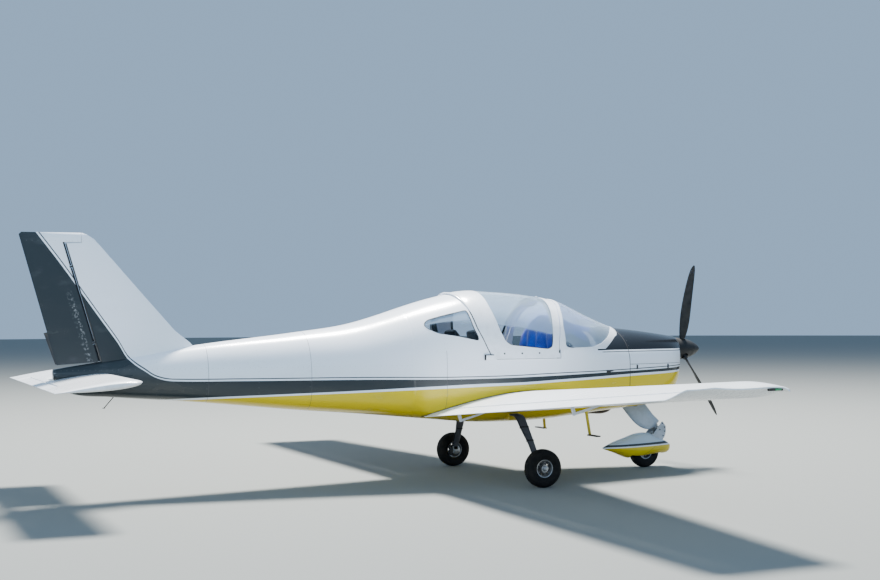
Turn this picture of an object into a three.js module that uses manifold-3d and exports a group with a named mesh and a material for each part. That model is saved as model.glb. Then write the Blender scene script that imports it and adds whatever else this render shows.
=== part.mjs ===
// A two-seat low-wing light aircraft with a fixed tricycle gear, in millimetres.
// X points forward, Y to the left, Z up from the ground.
// Inside the airframe group X is measured forward from the main axle.

import * as THREE from 'three';
import { mergeVertices } from 'three/addons/utils/BufferGeometryUtils.js';
import Module from 'manifold-3d';

const wasm = await Module();
wasm.setup();

// Driving dimensions
const NOSE_X = 2316;
const TAIL_X = -4291;
const FIN_TOP_Z = 2200;
const HALF_SPAN = 4300;
const TRACK = 1875;
const WHEEL_BASE = 1650;
const MAIN_TYRE = { radius: 168, halfWidth: 60, rimRadius: 78 };
const NOSE_TYRE = { radius: 155, halfWidth: 52, rimRadius: 70 };

// Fits
const TOUCH = 0.3;
const RUN = 0.6;
const CLEAR = 6;

// Walls
const WALL = 15;
const COWL_WALL = 8;
const CONE_WALL = 9;
const RING_POINTS = 24;

// Where the fuselage is split
const CONE_X = -1000;
const FIREWALL_X = 1200;
const COWL_FRONT_X = 1990;
const COWL_SPLIT_Z = 1040;
const SILL_Z = 1110;
const HOOP_X = 455;
const SCREEN_SILL_Z = 1190;
const PANEL_X = 760;
const THRUST_Z = 1165;

// Paint and stuff
const paint = (color, roughness, metalness = 0) => (
  new THREE.MeshStandardMaterial({ color, roughness, metalness })
);
const WHITE = paint('#e9edf2', 0.3);
const YELLOW = paint('#c9ad0c', 0.35);
const GREY = paint('#3f4347', 0.4);
const BLACK = paint('#17181a', 0.45);
const RUBBER = paint('#1b1b1c', 0.85);
const ALUMINIUM = paint('#aeb3b8', 0.4, 0.8);
const STEEL = paint('#54575b', 0.45, 0.8);
const IRON = paint('#3a3d40', 0.6, 0.5);
const FABRIC = paint('#26282d', 0.9);
const BLUE = paint('#123fae', 0.8);
const GLASS = new THREE.MeshStandardMaterial({
  color: '#a9cbe6', roughness: 0.08, metalness: 0, transparent: true, opacity: 0.35,
});

// Solids from geometries and back
function solid(geometry) {
  const bare = geometry.clone();
  bare.deleteAttribute('normal');
  bare.deleteAttribute('uv');
  const merged = mergeVertices(bare, 1e-3);
  const corners = Float32Array.from(merged.attributes.position.array);
  const triangles = Uint32Array.from(merged.index.array);
  if (signedVolume(corners, triangles) < 0) {
    for (let i = 0; i < triangles.length; i += 3) {
      [triangles[i + 1], triangles[i + 2]] = [triangles[i + 2], triangles[i + 1]];
    }
  }
  return new wasm.Manifold(new wasm.Mesh({
    numProp: 3, vertProperties: corners, triVerts: triangles,
  }));
}

function signedVolume(corners, triangles) {
  const a = new THREE.Vector3();
  const b = new THREE.Vector3();
  const c = new THREE.Vector3();
  let sum = 0;
  for (let i = 0; i < triangles.length; i += 3) {
    a.fromArray(corners, 3 * triangles[i]);
    b.fromArray(corners, 3 * triangles[i + 1]);
    c.fromArray(corners, 3 * triangles[i + 2]);
    sum += a.dot(b.cross(c));
  }
  return sum / 6;
}

function geometryOf(piece) {
  const mesh = piece.getMesh();
  const geometry = new THREE.BufferGeometry();
  geometry.setAttribute('position', new THREE.BufferAttribute(mesh.vertProperties, 3));
  geometry.setIndex(new THREE.BufferAttribute(mesh.triVerts, 1));
  return geometry;
}

const join = (...pieces) => pieces.reduce((whole, piece) => whole.add(piece));
const cut = (whole, ...tools) => tools.reduce((left, tool) => left.subtract(tool), whole);

function box(x0, x1, y0, y1, z0, z1) {
  const shape = new THREE.BoxGeometry(x1 - x0, y1 - y0, z1 - z0);
  shape.translate((x0 + x1) / 2, (y0 + y1) / 2, (z0 + z1) / 2);
  return solid(shape);
}

// A round bar from one point to another
function bar(from, to, radius, endRadius = radius, sides = 16) {
  const start = new THREE.Vector3(...from);
  const end = new THREE.Vector3(...to);
  const along = end.clone().sub(start);
  const shape = new THREE.CylinderGeometry(endRadius, radius, along.length(), sides);
  shape.applyQuaternion(new THREE.Quaternion().setFromUnitVectors(
    new THREE.Vector3(0, 1, 0), along.clone().normalize(),
  ));
  shape.translate(...start.add(end).multiplyScalar(0.5).toArray());
  return solid(shape);
}

// A plate whose outline is given in side view, as X and Z, from one Y to another
function plate(outline, y0, y1) {
  const shape = new THREE.Shape(outline.map(([x, z]) => new THREE.Vector2(x, z)));
  const geometry = new THREE.ExtrudeGeometry(shape, {
    depth: y1 - y0, bevelEnabled: false, curveSegments: 12,
  });
  const sideView = new THREE.Matrix4().set(
    1, 0, 0, 0,
    0, 0, 1, y0,
    0, 1, 0, 0,
    0, 0, 0, 1,
  );
  return solid(geometry.applyMatrix4(sideView));
}

// A closed skin over rings of equal point count, with flat ends
function loft(rings) {
  const count = rings[0].length;
  const corners = rings.flat(2);
  const triangles = [];
  for (let r = 0; r + 1 < rings.length; r += 1) {
    for (let i = 0; i < count; i += 1) {
      const a = r * count + i;
      const b = r * count + ((i + 1) % count);
      triangles.push(a, b, b + count, a, b + count, a + count);
    }
  }
  for (const [first, flip] of [[0, true], [(rings.length - 1) * count, false]]) {
    const facet = (a, b, c) => triangles.push(first + a, first + (flip ? c : b), first + (flip ? b : c));
    facet(0, 1, count - 1);
    for (let low = 1, high = count - 1; low + 1 < high; low += 1, high -= 1) {
      facet(low, low + 1, high);
      if (low + 1 < high - 1) facet(low + 1, high - 1, high);
    }
  }
  const geometry = new THREE.BufferGeometry();
  geometry.setAttribute('position', new THREE.Float32BufferAttribute(corners, 3));
  geometry.setIndex(triangles);
  return solid(geometry);
}

// A smooth curve through the rows of a table, whose first column is where
function rowAt(table, where) {
  const last = table.length - 1;
  let i = 0;
  while (i < last - 1 && where > table[i + 1][0]) i += 1;
  const [before, low, high, after] = [
    table[Math.max(i - 1, 0)], table[i], table[i + 1], table[Math.min(i + 2, last)],
  ];
  const span = high[0] - low[0];
  const t = Math.min(Math.max((where - low[0]) / span, 0), 1);
  return low.map((value, column) => {
    if (column === 0) return where;
    const slopeLow = (high[column] - before[column]) / (high[0] - before[0]);
    const slopeHigh = (after[column] - low[column]) / (after[0] - low[0]);
    const rise = high[column] - value;
    const a = slopeLow * span - rise;
    const b = rise - slopeHigh * span;
    return value + rise * t + t * (1 - t) * (a * (1 - t) + b * t);
  });
}

// Fuselage with the bubble of the cabin in it, tail cone to windscreen hoop
// x, half width, belly, belt line, top, roundness below, roundness above the belt
const HULL = [
  [-4020, 45, 1000, 1042, 1080, 2.2, 2.0],
  [-3880, 64, 880, 1025, 1103, 2.3, 2.0],
  [-3560, 105, 842, 1005, 1150, 2.5, 2.1],
  [-2840, 200, 780, 975, 1264, 2.8, 2.1],
  [-1990, 312, 690, 955, 1362, 3.2, 2.2],
  [-1440, 398, 642, 965, 1440, 3.5, 2.2],
  [-720, 522, 569, 1015, 1602, 4.0, 2.3],
  [-350, 548, 534, 1040, 1690, 4.2, 2.3],
  [-60, 552, 526, 1050, 1722, 4.2, 2.3],
  [200, 551, 528, 1050, 1712, 4.2, 2.3],
  [460, 546, 540, 1050, 1678, 4.2, 2.3],
];
// The canopy's own shape runs on over the hoop
const CANOPY_HULL = [...HULL, [620, 540, 553, 1050, 1628, 4.2, 2.3]];

// Fuselage without the bubble: scuttle and cowl
const DECK = [
  [455, 546, 540, 1050, 1430, 4.2, 3.6],
  [600, 542, 553, 1050, 1400, 4.1, 3.3],
  [760, 535, 566, 1050, 1388, 4.0, 2.7],
  [900, 521, 578, 1048, 1386, 3.9, 2.3],
  [1200, 470, 600, 1040, 1385, 3.6, 2.1],
  [1500, 425, 620, 1050, 1357, 3.2, 2.2],
  [1750, 365, 655, 1080, 1325, 2.9, 2.2],
  [1900, 268, 760, 1105, 1304, 2.6, 2.2],
  [1960, 178, 880, 1140, 1295, 2.4, 2.2],
  [1995, 118, 985, 1160, 1288, 2.2, 2.1],
];

// Windscreen bubble over the scuttle
const BUBBLE = [
  [380, 561, 900, 1050, 1708, 2.3, 2.3],
  [440, 559, 900, 1050, 1694, 2.3, 2.3],
  [600, 549, 900, 1050, 1646, 2.3, 2.3],
  [760, 530, 900, 1050, 1578, 2.3, 2.3],
  [900, 506, 900, 1050, 1514, 2.3, 2.3],
  [1100, 418, 900, 1050, 1436, 2.3, 2.3],
  [1200, 360, 900, 1050, 1403, 2.3, 2.3],
  [1285, 160, 900, 1050, 1379, 2.3, 2.3],
];

function bodyRing(table, x, grow, points = RING_POINTS) {
  const [, halfWidth, belly, belt, top, powerBelow, powerAbove] = rowAt(table, x);
  const ring = [];
  for (let i = 0; i < points; i += 1) {
    const angle = (2 * Math.PI * i) / points;
    const [across, up] = [Math.cos(angle), Math.sin(angle)];
    const power = up > 0 ? powerAbove : powerBelow;
    const height = up > 0 ? top + grow - belt : belt - belly + grow;
    ring.push([
      x,
      (halfWidth + grow) * Math.sign(across) * Math.abs(across) ** (2 / power),
      belt + height * Math.sign(up) * Math.abs(up) ** (2 / power),
    ]);
  }
  return ring;
}

function body(table, x0, x1, steps, grow = 0) {
  const rings = [];
  for (let i = 0; i <= steps; i += 1) {
    rings.push(bodyRing(table, x0 + ((x1 - x0) * i) / steps, grow));
  }
  return loft(rings);
}

const FAR = 3000;
const slab = (x0, x1, z0, z1) => box(x0, x1, -FAR, FAR, z0, z1);
const fullBody = (grow) => join(
  body(HULL, CONE_X, HOOP_X, 7, grow), body(DECK, HOOP_X - 1, FIREWALL_X, 5, grow),
);
const cabinInside = (gap) => join(
  body(HULL, CONE_X + WALL, HOOP_X, 7, -WALL - gap), body(DECK, HOOP_X - 1, FIREWALL_X + 1, 5, -WALL - gap),
);
const noseBody = () => body(DECK, FIREWALL_X + TOUCH, COWL_FRONT_X, 7);
const coneBody = (grow) => body(HULL, -4020, CONE_X - TOUCH, 8, grow);

// Side-view outlines that the cabin is cut by, as X and Z
const REAR_SEAM = [[-280, SILL_Z], [-327, 1207], [-407, 1396], [-446, 1572], [-466, 1705]];
const FRONT_SEAM = [[396, SILL_Z], [390, 1165], [398, 1248], [437, 1410], [465, 1533], [508, 1617], [560, 1670]];
const ROOF_Z = 1900;
const LIP = 35;
const SEAM_HALF = 4;
const canopySide = (shift, low, front) => [
  [REAR_SEAM[0][0] + shift, low], ...front, [REAR_SEAM.at(-1)[0] + shift, ROOF_Z],
  ...REAR_SEAM.slice(1).reverse().map(([x, z]) => [x + shift, z]),
];
// Front seam of the canopy moved along X, from its lowest point up to the roof
const frontSeam = (shift, low) => [
  ...FRONT_SEAM.map(([x, z]) => [x + shift, Math.max(z, low)]), [FRONT_SEAM.at(-1)[0] + 20 + shift, ROOF_Z],
];
const REAR_WINDOW = [
  [-890, 1429], [-851, 1468], [-705, 1507], [-479, 1556], [-464, 1540], [-443, 1396], [-407, 1307],
  [-415, 1281], [-583, 1318], [-778, 1349], [-872, 1395],
];
const CANOPY_WINDOW = [
  [-156, 1275], [-104, 1238], [281, 1197], [325, 1219], [358, 1411], [385, 1534], [405, 1617], [420, 1850],
  [-262, 1850], [-244, 1576], [-197, 1375],
];
const SCREEN_WINDOW = [
  [471, 1410], [466, 1217], [518, 1204], [773, 1212], [888, 1245], [982, 1291], [1049, 1332], [1093, 1362],
  [1165, 1392], [1225, 1397], [1180, 1700], [585, 1850], [585, 1690], [507, 1554],
];

function shrunk(outline, by) {
  const middle = outline.reduce((s, p) => [s[0] + p[0] / outline.length, s[1] + p[1] / outline.length], [0, 0]);
  return outline.map(([x, z]) => {
    const [dx, dz] = [x - middle[0], z - middle[1]];
    const size = Math.hypot(dx, dz);
    return [x - (dx / size) * by, z - (dz / size) * by];
  });
}

// Hollow cabin: tub, scuttle, rear deck and rear bulkhead, with the cockpit and windows cut
function cabinShell() {
  const cockpit = plate(canopySide(LIP, SILL_Z, [
    [414, SILL_Z], [414, SCREEN_SILL_Z], [HOOP_X, SCREEN_SILL_Z], [HOOP_X, ROOF_Z],
  ]), -FAR, FAR);
  const screenGap = slab(HOOP_X - 1, PANEL_X, SCREEN_SILL_Z, FAR);
  const rails = [-1, 1].map((side) => canopyRail(side));
  return join(
    cut(fullBody(0), cabinInside(0), cockpit, screenGap, plate(REAR_WINDOW, -FAR, FAR)), ...rails,
  );
}

// Rail inside the sill, that the canopy's shoe straddles
const RAIL = { x0: -255, x1: 440, y: 500, half: 3.5, top: 1098, shelf: 1060 };
function canopyRail(side) {
  const upright = box(RAIL.x0, RAIL.x1, RAIL.y - RAIL.half, RAIL.y + RAIL.half, RAIL.shelf, RAIL.top);
  const shelf = box(RAIL.x0, RAIL.x1, RAIL.y - RAIL.half, 538, RAIL.shelf, RAIL.shelf + 8);
  return turned(join(upright, shelf), side);
}

// The same piece on the left side, or its mirror image on the right
function turned(piece, side) {
  return side > 0 ? piece : piece.mirror([0, 1, 0]);
}

// Tail cone, hollow behind the bulkhead, carrying the tail
const TAIL_PIVOT = { x: -3730, z: 1012, radius: 19 };
function tailCone() {
  const inner = body(HULL, -3500, CONE_X + 1, 7, -CONE_WALL);
  const bore = bar(
    [TAIL_PIVOT.x, -FAR, TAIL_PIVOT.z], [TAIL_PIVOT.x, FAR, TAIL_PIVOT.z], TAIL_PIVOT.radius + RUN, undefined, 24,
  );
  return cut(coneBody(0), inner, bore);
}

// Fin, rudder and their hinge line, in side view as X and Z
const RUDDER_HINGE = { top: [-3950, 2112], bottom: [-3662, 1132] };
const FIN_OUTLINE = [
  [-2840, 1225], [-2900, 1290], [-3030, 1392], [-3330, 1732], [-3650, 2100],
  [-3700, 2152], [-3755, 2188], [-3792, FIN_TOP_Z], [-4100, FIN_TOP_Z], [-3900, 1060], [-3400, 1130],
];
// The fin's airfoil solid, from which fin and rudder are both cut
function finFoil() {
  const rings = [];
  for (const z of [1000, 1290, 1700, 2150, FIN_TOP_Z]) {
    const front = -2860 - 0.87 * (z - 1290);
    const back = -3990 - 0.28 * (z - 1110);
    const upper = [];
    const lower = [];
    for (let i = 0; i <= 12; i += 1) {
      const s = (1 - Math.cos((Math.PI * i) / 12)) / 2;
      const half = Math.max(2, (front - back) * 0.088 * thicknessAt(s) * (z > 2160 ? 0.8 : 1));
      const x = front + (back - front) * s;
      upper.push([x, half * (i === 0 ? 0 : 1), z]);
      if (i > 0) lower.unshift([x, -half, z]);
    }
    rings.push([...upper, ...lower]);
  }
  return loft(rings);
}

// Half thickness of the usual four-digit section, for a thickness of one
function thicknessAt(s) {
  return 5 * (0.2969 * Math.sqrt(s) - 0.126 * s - 0.3516 * s ** 2 + 0.2843 * s ** 3 - 0.1015 * s ** 4);
}

// Hinge made of lugs on the fixed piece and pins in notches of the moving one
const LUG = { half: 7, radius: 11, pin: 4, gap: 5, root: 45 };
function hinge(pair, at, axis, forward) {
  const along = new THREE.Vector3(...axis).normalize();
  const ahead = new THREE.Vector3(...forward).normalize();
  const across = new THREE.Vector3().crossVectors(along, ahead);
  const frame = new THREE.Matrix4().makeBasis(along, ahead, across).setPosition(...at);
  const placed = (geometry) => solid(geometry.applyMatrix4(frame));
  const brick = (halfAlong, a0, a1, half) => placed(
    new THREE.BoxGeometry(2 * halfAlong, a1 - a0, 2 * half).translate(0, (a0 + a1) / 2, 0),
  );
  const disc = (radius, half) => placed(
    new THREE.CylinderGeometry(radius, radius, 2 * half, 10).rotateZ(Math.PI / 2),
  );
  const notch = LUG.half + LUG.gap;
  return [
    join(pair[0], brick(LUG.half, 0, LUG.root, LUG.radius), disc(LUG.radius, LUG.half))
      .subtract(disc(LUG.pin + RUN, 2 * LUG.half)),
    cut(pair[1], brick(notch, 0, 70, 70), disc(LUG.radius + LUG.gap, notch))
      .add(disc(LUG.pin, notch + 6)),
  ];
}

function finAndRudder() {
  const foil = finFoil();
  const [top, bottom] = [RUDDER_HINGE.top, RUDDER_HINGE.bottom].map(([x, z]) => [x, 0, z]);
  const axis = new THREE.Vector3(...top).sub(new THREE.Vector3(...bottom)).normalize();
  const ahead = new THREE.Vector3(axis.z, 0, -axis.x);
  const shifted = (point, by) => [point[0] + ahead.x * by, point[2] + ahead.z * by];
  const nose = bar(
    new THREE.Vector3(...bottom).addScaledVector(axis, -60).toArray(),
    new THREE.Vector3(...top).addScaledVector(axis, 60).toArray(), 24, 21,
  );
  const hornZ = 2122;
  const hornX = -3800;
  const cove = 24 + CLEAR;
  const shoulder = [top[0] - axis.x * 10, 0, top[2] - axis.z * 10];
  const swept = plate([
    shifted(bottom, cove), shifted(shoulder, cove), [hornX + CLEAR, hornZ - CLEAR],
    [hornX + CLEAR, 2300], [-4500, 2300], [-4300, 1000], [-3625, 1000],
  ], -FAR, FAR);
  const behind = plate([
    [bottom[0], 1136], [top[0], hornZ], [hornX, hornZ], [hornX, FIN_TOP_Z], [-4270, FIN_TOP_Z],
    [TAIL_X, 2180], [-3992, 1114],
  ], -FAR, FAR);
  const noseBand = plate([[-3500, 1142], [-4200, 1142], [-4200, hornZ], [-3500, hornZ]], -FAR, FAR);
  const finBase = foil.intersect(plate(FIN_OUTLINE, -FAR, FAR));
  let fin = cut(finBase, swept, coneBody(TOUCH));
  let rudder = foil.intersect(behind).add(nose.intersect(noseBand)).subtract(coneBody(CLEAR));
  for (const share of [0.16, 0.8]) {
    const at = new THREE.Vector3(...bottom).lerp(new THREE.Vector3(...top), share).toArray();
    [fin, rudder] = hinge([fin, rudder], at, axis.toArray(), ahead.toArray());
  }
  return { fin, rudder };
}

// Stabilator: two halves on one tube through the tail cone, joined behind it by the tab beam
const STAB = {
  halfSpan: 1448, leadX: -3568, chord: 635, leadZ: 1025, droop: Math.tan(0.101), thickness: 0.1,
  rootY: 128, tabX: -4105, tabHalf: 820, bridgeX: -4045,
};
function stabFoil() {
  const rings = [];
  for (const [y, lead, share] of [
    [-STAB.halfSpan, -70, 0.3], [-STAB.halfSpan + 25, -22, 0.8], [-STAB.halfSpan + 80, 0, 1],
    [STAB.halfSpan - 80, 0, 1], [STAB.halfSpan - 25, -22, 0.8], [STAB.halfSpan, -70, 0.3],
  ]) {
    const upper = [];
    const lower = [];
    const chord = STAB.chord + lead;
    for (let i = 0; i <= 10; i += 1) {
      const s = (1 - Math.cos((Math.PI * i) / 10)) / 2;
      const half = Math.max(1.6, STAB.chord * STAB.thickness * thicknessAt(s) * share);
      const x = STAB.leadX + lead - chord * s;
      const z = STAB.leadZ - (STAB.leadX - x) * STAB.droop;
      upper.push([x, y, z + half * (i === 0 ? 0 : 1)]);
      if (i > 0) lower.unshift([x, y, z - half]);
    }
    rings.push([...upper, ...lower]);
  }
  return loft(rings);
}

function stabilatorAndTab() {
  const foil = stabFoil();
  const hinged = { x: STAB.tabX, z: STAB.leadZ - (STAB.leadX - STAB.tabX) * STAB.droop };
  const spar = bar(
    [TAIL_PIVOT.x, -420, TAIL_PIVOT.z], [TAIL_PIVOT.x, 420, TAIL_PIVOT.z], TAIL_PIVOT.radius, undefined, 24,
  );
  const middle = box(STAB.bridgeX, STAB.leadX + 50, -STAB.rootY, STAB.rootY, 800, 1200);
  const tabSpace = box(-4400, STAB.tabX + CLEAR + 9, -STAB.tabHalf - CLEAR, STAB.tabHalf + CLEAR, 800, 1200);
  const tabBody = foil.intersect(box(-4400, STAB.tabX, -STAB.tabHalf, STAB.tabHalf, 800, 1200));
  const nose = bar([hinged.x, -STAB.tabHalf, hinged.z], [hinged.x, STAB.tabHalf, hinged.z], 8.5);
  let stabilator = cut(foil, middle, tabSpace).add(spar);
  let tab = tabBody.add(nose);
  for (const y of [-560, 560]) {
    [stabilator, tab] = smallHinge([stabilator, tab], [hinged.x, y, hinged.z]);
  }
  return { stabilator, tab };
}

function smallHinge(pair, at) {
  const [x, y, z] = at;
  const disc = (radius, half) => bar([x, y - half, z], [x, y + half, z], radius, radius, 10);
  return [
    join(pair[0], box(x, x + 24, y - 5, y + 5, z - 6, z + 6), disc(6, 5)).subtract(disc(2.5 + RUN, 10)),
    cut(pair[1], box(x, x + 30, y - 9, y + 9, z - 30, z + 30), disc(10, 9)).add(disc(2.5, 14)),
  ];
}

// Wing: straight taper on the leading edge, straight trailing edge
const WING = {
  rootY: 420, tipY: 4130, trailX: -900, rootLeadX: 498, tipLeadX: 0,
  rootLeadZ: 716, tipLeadZ: 1006, rootTrailZ: 613, tipTrailZ: 964,
  rootThick: 0.13, tipThick: 0.12, camber: 0.03, hingeX: -730,
};
const WING_POINTS = 9;

function wingAt(y) {
  const t = (y - WING.rootY) / (WING.tipY - WING.rootY);
  const mix = (a, b) => a + (b - a) * t;
  return {
    leadX: mix(WING.rootLeadX, WING.tipLeadX),
    leadZ: mix(WING.rootLeadZ, WING.tipLeadZ),
    trailZ: mix(WING.rootTrailZ, WING.tipTrailZ),
    thick: mix(WING.rootThick, WING.tipThick),
  };
}

// Height of the wing's upper side (1), middle (0) or lower side (-1) at a place in plan
function wingZ(x, y, side) {
  const w = wingAt(y);
  const chord = w.leadX - WING.trailX;
  const s = Math.min(Math.max((w.leadX - x) / chord, 0), 1);
  const bend = WING.camber * 4 * s * (1 - s);
  const half = Math.max(1.5, w.thick * thicknessAt(s) * chord);
  return w.leadZ + (w.trailZ - w.leadZ) * s + bend * chord + side * half;
}

function wingRing(y, squash = () => 1) {
  const w = wingAt(y);
  const upper = [];
  const lower = [];
  for (let i = 0; i <= WING_POINTS; i += 1) {
    const s = (1 - Math.cos((Math.PI * i) / WING_POINTS)) / 2;
    const x = w.leadX + (WING.trailX - w.leadX) * s;
    upper.push([x, y, i === 0 ? wingZ(x, y, 0) : wingZ(x, y, 1)]);
    if (i > 0) lower.unshift([x, y, wingZ(x, y, 1) + (wingZ(x, y, -1) - wingZ(x, y, 1)) * squash(s)]);
  }
  return [...upper, ...lower];
}

const FLAP = { y0: 562, y1: 2744, bracketY: [760, 2712], drop: 54 };
const AILERON = { y0: 2756, y1: 4118, hingeY: [3000, 3880] };
const hingePoint = (y) => [WING.hingeX, y, wingZ(WING.hingeX, y, 0)];
const noseRadius = (y) => (wingZ(WING.hingeX, y, 1) - wingZ(WING.hingeX, y, -1)) / 2 - 0.5;

function controlSurface(foil, y0, y1) {
  const reach = 30;
  const nose = bar(hingePoint(y0 - reach), hingePoint(y1 + reach), noseRadius(y0), noseRadius(y1), 14);
  const strip = box(-1200, WING.hingeX, y0, y1, 0, FAR);
  return join(
    foil.intersect(strip), nose.intersect(box(-1200, 0, y0, y1, 0, FAR)),
  );
}

function wingPieces(side) {
  const foil = loft([wingRing(WING.rootY), wingRing(WING.tipY)]);
  let wing = cut(
    foil,
    box(-1200, WING.hingeX + noseRadius(FLAP.y0) + CLEAR, FLAP.y0 - CLEAR, FLAP.y1 + 6, 0, FAR),
    box(-1200, WING.hingeX + noseRadius(AILERON.y0) + CLEAR, AILERON.y0 - 6, AILERON.y1 + CLEAR, 0, FAR),
  );
  let aileron = controlSurface(foil, AILERON.y0, AILERON.y1);
  const axis = new THREE.Vector3(...hingePoint(AILERON.y1)).sub(new THREE.Vector3(...hingePoint(AILERON.y0)));
  const ahead = new THREE.Vector3(1, 0, 0);
  for (const y of AILERON.hingeY) {
    [wing, aileron] = hinge([wing, aileron], hingePoint(y), axis.toArray(), ahead.toArray());
  }
  let flap = controlSurface(foil, FLAP.y0, FLAP.y1);
  for (const y of FLAP.bracketY) [wing, flap] = flapHinge(wing, flap, y);
  return {
    wing: turned(wing, side).subtract(fullBody(TOUCH)), flap: turned(flap, side), aileron: turned(aileron, side),
    tip: turned(wingTip(), side),
  };
}

// Bracket hung under the wing, with the flap's own horn beside it
const FLAP_PIVOT_X = WING.hingeX + 20;
const flapPivot = (y) => [FLAP_PIVOT_X, y, wingZ(FLAP_PIVOT_X, y, -1) - FLAP.drop];
function flapHinge(wing, flap, y) {
  const [px, , pz] = flapPivot(y);
  const under = (x) => wingZ(x, y, -1);
  const arm = plate([
    [px - 11, pz - 4], [px, pz - 12], [px + 12, pz - 8], [px + 262, under(px + 262) + 4],
    [px + 222, under(px + 222) + 6], [px + 8, pz + 11], [px - 6, pz + 11],
  ], y - 4, y + 4);
  const horn = plate([
    [px - 10, pz - 9], [px + 8, pz - 9], [px + 9, pz + 8], [px - 3, under(px - 3) + 10],
    [px - 34, under(px - 34) + 6],
  ], y + 9, y + 17);
  const pin = (radius) => bar([px, y - 8, pz], [px, y + 12, pz], radius, radius, 12);
  return [
    join(wing, arm).subtract(pin(4 + RUN)),
    join(flap, horn, pin(4)),
  ];
}

// Upturned tip: the upper side runs on while the lower side rises to meet it
function wingTip() {
  const inner = WING.tipY + TOUCH;
  const tipRing = (y, lead, trail, rise) => wingRing(WING.tipY).map(([x, , z], i) => {
    const w = wingAt(WING.tipY);
    const s = (w.leadX - x) / (w.leadX - WING.trailX);
    const upper = wingZ(x, WING.tipY, 1);
    const lift = (y - WING.tipY) * 0.035;
    const lower = i > WING_POINTS;
    const height = lower ? z + (upper - 7 - z) * rise : z;
    return [w.leadX + lead + (WING.trailX + trail - w.leadX - lead) * s, y, height + lift];
  });
  return loft([
    tipRing(inner, 0, 0, 0), tipRing(4215, -6, 60, 0.42), tipRing(HALF_SPAN - 8, -30, 185, 0.95),
    tipRing(HALF_SPAN, -48, 200, 0.98),
  ]);
}

// Wheels
function tyre(size, at) {
  const { radius, halfWidth, rimRadius } = size;
  const half = [
    [rimRadius, 0.62], [radius * 0.72, 1], [radius * 0.87, 0.93], [radius * 0.965, 0.66], [radius, 0.3],
  ].map(([r, w]) => [r, w * halfWidth]);
  const profile = [...half, ...half.map(([r, w]) => [r, -w]).reverse(), half[0]]
    .map(([r, w]) => new THREE.Vector2(r, w));
  return solid(new THREE.LatheGeometry(profile, 24).translate(...at));
}

const AXLE_RADIUS = 15;
function rim(size, at) {
  const { halfWidth, rimRadius } = size;
  const outer = rimRadius - TOUCH - 0.3;
  const profile = [
    [AXLE_RADIUS + RUN + 0.3, -halfWidth * 0.66], [34, -halfWidth * 0.66], [36, -10], [outer - 9, -10],
    [outer - 7, -halfWidth * 0.62], [outer, -halfWidth * 0.62], [outer, halfWidth * 0.62],
    [outer - 7, halfWidth * 0.62], [outer - 9, 10], [36, 10], [34, halfWidth * 0.66],
    [AXLE_RADIUS + RUN + 0.3, halfWidth * 0.66], [AXLE_RADIUS + RUN + 0.3, -halfWidth * 0.66],
  ].map(([r, w]) => new THREE.Vector2(r, w));
  return solid(new THREE.LatheGeometry(profile, 24).translate(...at));
}

// Main leg: a leaf of steel from a clamp under the belly out to the axle
const MAIN_HUB = [0, TRACK / 2, MAIN_TYRE.radius];
function mainLeg(side) {
  // y, z, middle x, half width, half thickness
  const path = [
    [370, 598, -50, 46, 9], [440, 602, -50, 46, 9], [500, 607, -50, 46, 9], [558, 607, -50, 46, 9],
    [598, 594, -48, 46, 9], [626, 565, -44, 45, 9], [672, 496, -35, 42, 9], [720, 425, -24, 36, 9],
    [770, 350, -14, 30, 9], [812, 285, -9, 28, 9], [877, 200, -4, 27, 9],
  ];
  const rings = path.map(([y, z, x, half, thick], i) => {
    const [a, b] = [path[Math.max(i - 1, 0)], path[Math.min(i + 1, path.length - 1)]];
    const slope = new THREE.Vector2(b[0] - a[0], b[1] - a[1]).normalize();
    const [ny, nz] = [-slope.y * thick, slope.x * thick];
    return [
      [x - half, y - ny, z - nz], [x + half, y - ny, z - nz], [x + half, y + ny, z + nz], [x - half, y + ny, z + nz],
    ];
  });
  const hubY = MAIN_HUB[1];
  const inside = hubY - MAIN_TYRE.halfWidth * 0.66 - 5;
  const flange = bar([0, inside - 26, MAIN_HUB[2]], [0, inside, MAIN_HUB[2]], 46, 46, 24);
  const post = box(-26, 26, inside - 26, inside - 2, MAIN_HUB[2], 228);
  const axle = bar([0, inside - 4, MAIN_HUB[2]], [0, hubY + 46, MAIN_HUB[2]], AXLE_RADIUS, AXLE_RADIUS, 24);
  const nut = bar([0, hubY + 45, MAIN_HUB[2]], [0, hubY + 54, MAIN_HUB[2]], 22, 22, 6);
  const clamp = box(-104, 4, 390, 500, 560, 630);
  return turned(join(loft(rings), flange, post, axle, nut, clamp), side).subtract(fullBody(TOUCH));
}

// Nose leg: raked strut in a fairing, and the steered fork that trails the wheel behind it
const RAKE = (45 * Math.PI) / 180;
const LEG_FOOT = [1770, 0, 370];
const legPoint = (up) => [LEG_FOOT[0] - Math.sin(RAKE) * up, 0, LEG_FOOT[2] + Math.cos(RAKE) * up];
const NOSE_HUB = [WHEEL_BASE, 0, NOSE_TYRE.radius];

function fairing(grow) {
  // z, rear x, front x, half thickness
  const rows = [
    [690, 1312, 1598, 46], [600, 1398, 1686, 46], [523, 1463, 1750, 46], [462, 1521, 1818, 44],
    [448, 1536, 1828, 43], [430, 1558, 1808, 42], [400, 1601, 1775, 40], [382, 1640, 1745, 36], [374, 1668, 1715, 32],
  ];
  return loft(rows.map(([z, rear, front, half]) => {
    const ring = [];
    for (let i = 0; i < 20; i += 1) {
      const angle = (2 * Math.PI * i) / 20;
      const middle = (rear + front) / 2;
      const reach = (front - rear) / 2 + grow;
      const taper = 1 - 0.25 * (1 - Math.cos(angle)) / 2;
      ring.push([middle + reach * Math.cos(angle), (half + grow) * Math.sin(angle) * taper, z]);
    }
    return ring;
  }));
}

const strut = (grow) => bar(legPoint(0), legPoint(540), 27 + grow, 27 + grow, 16);

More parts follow.
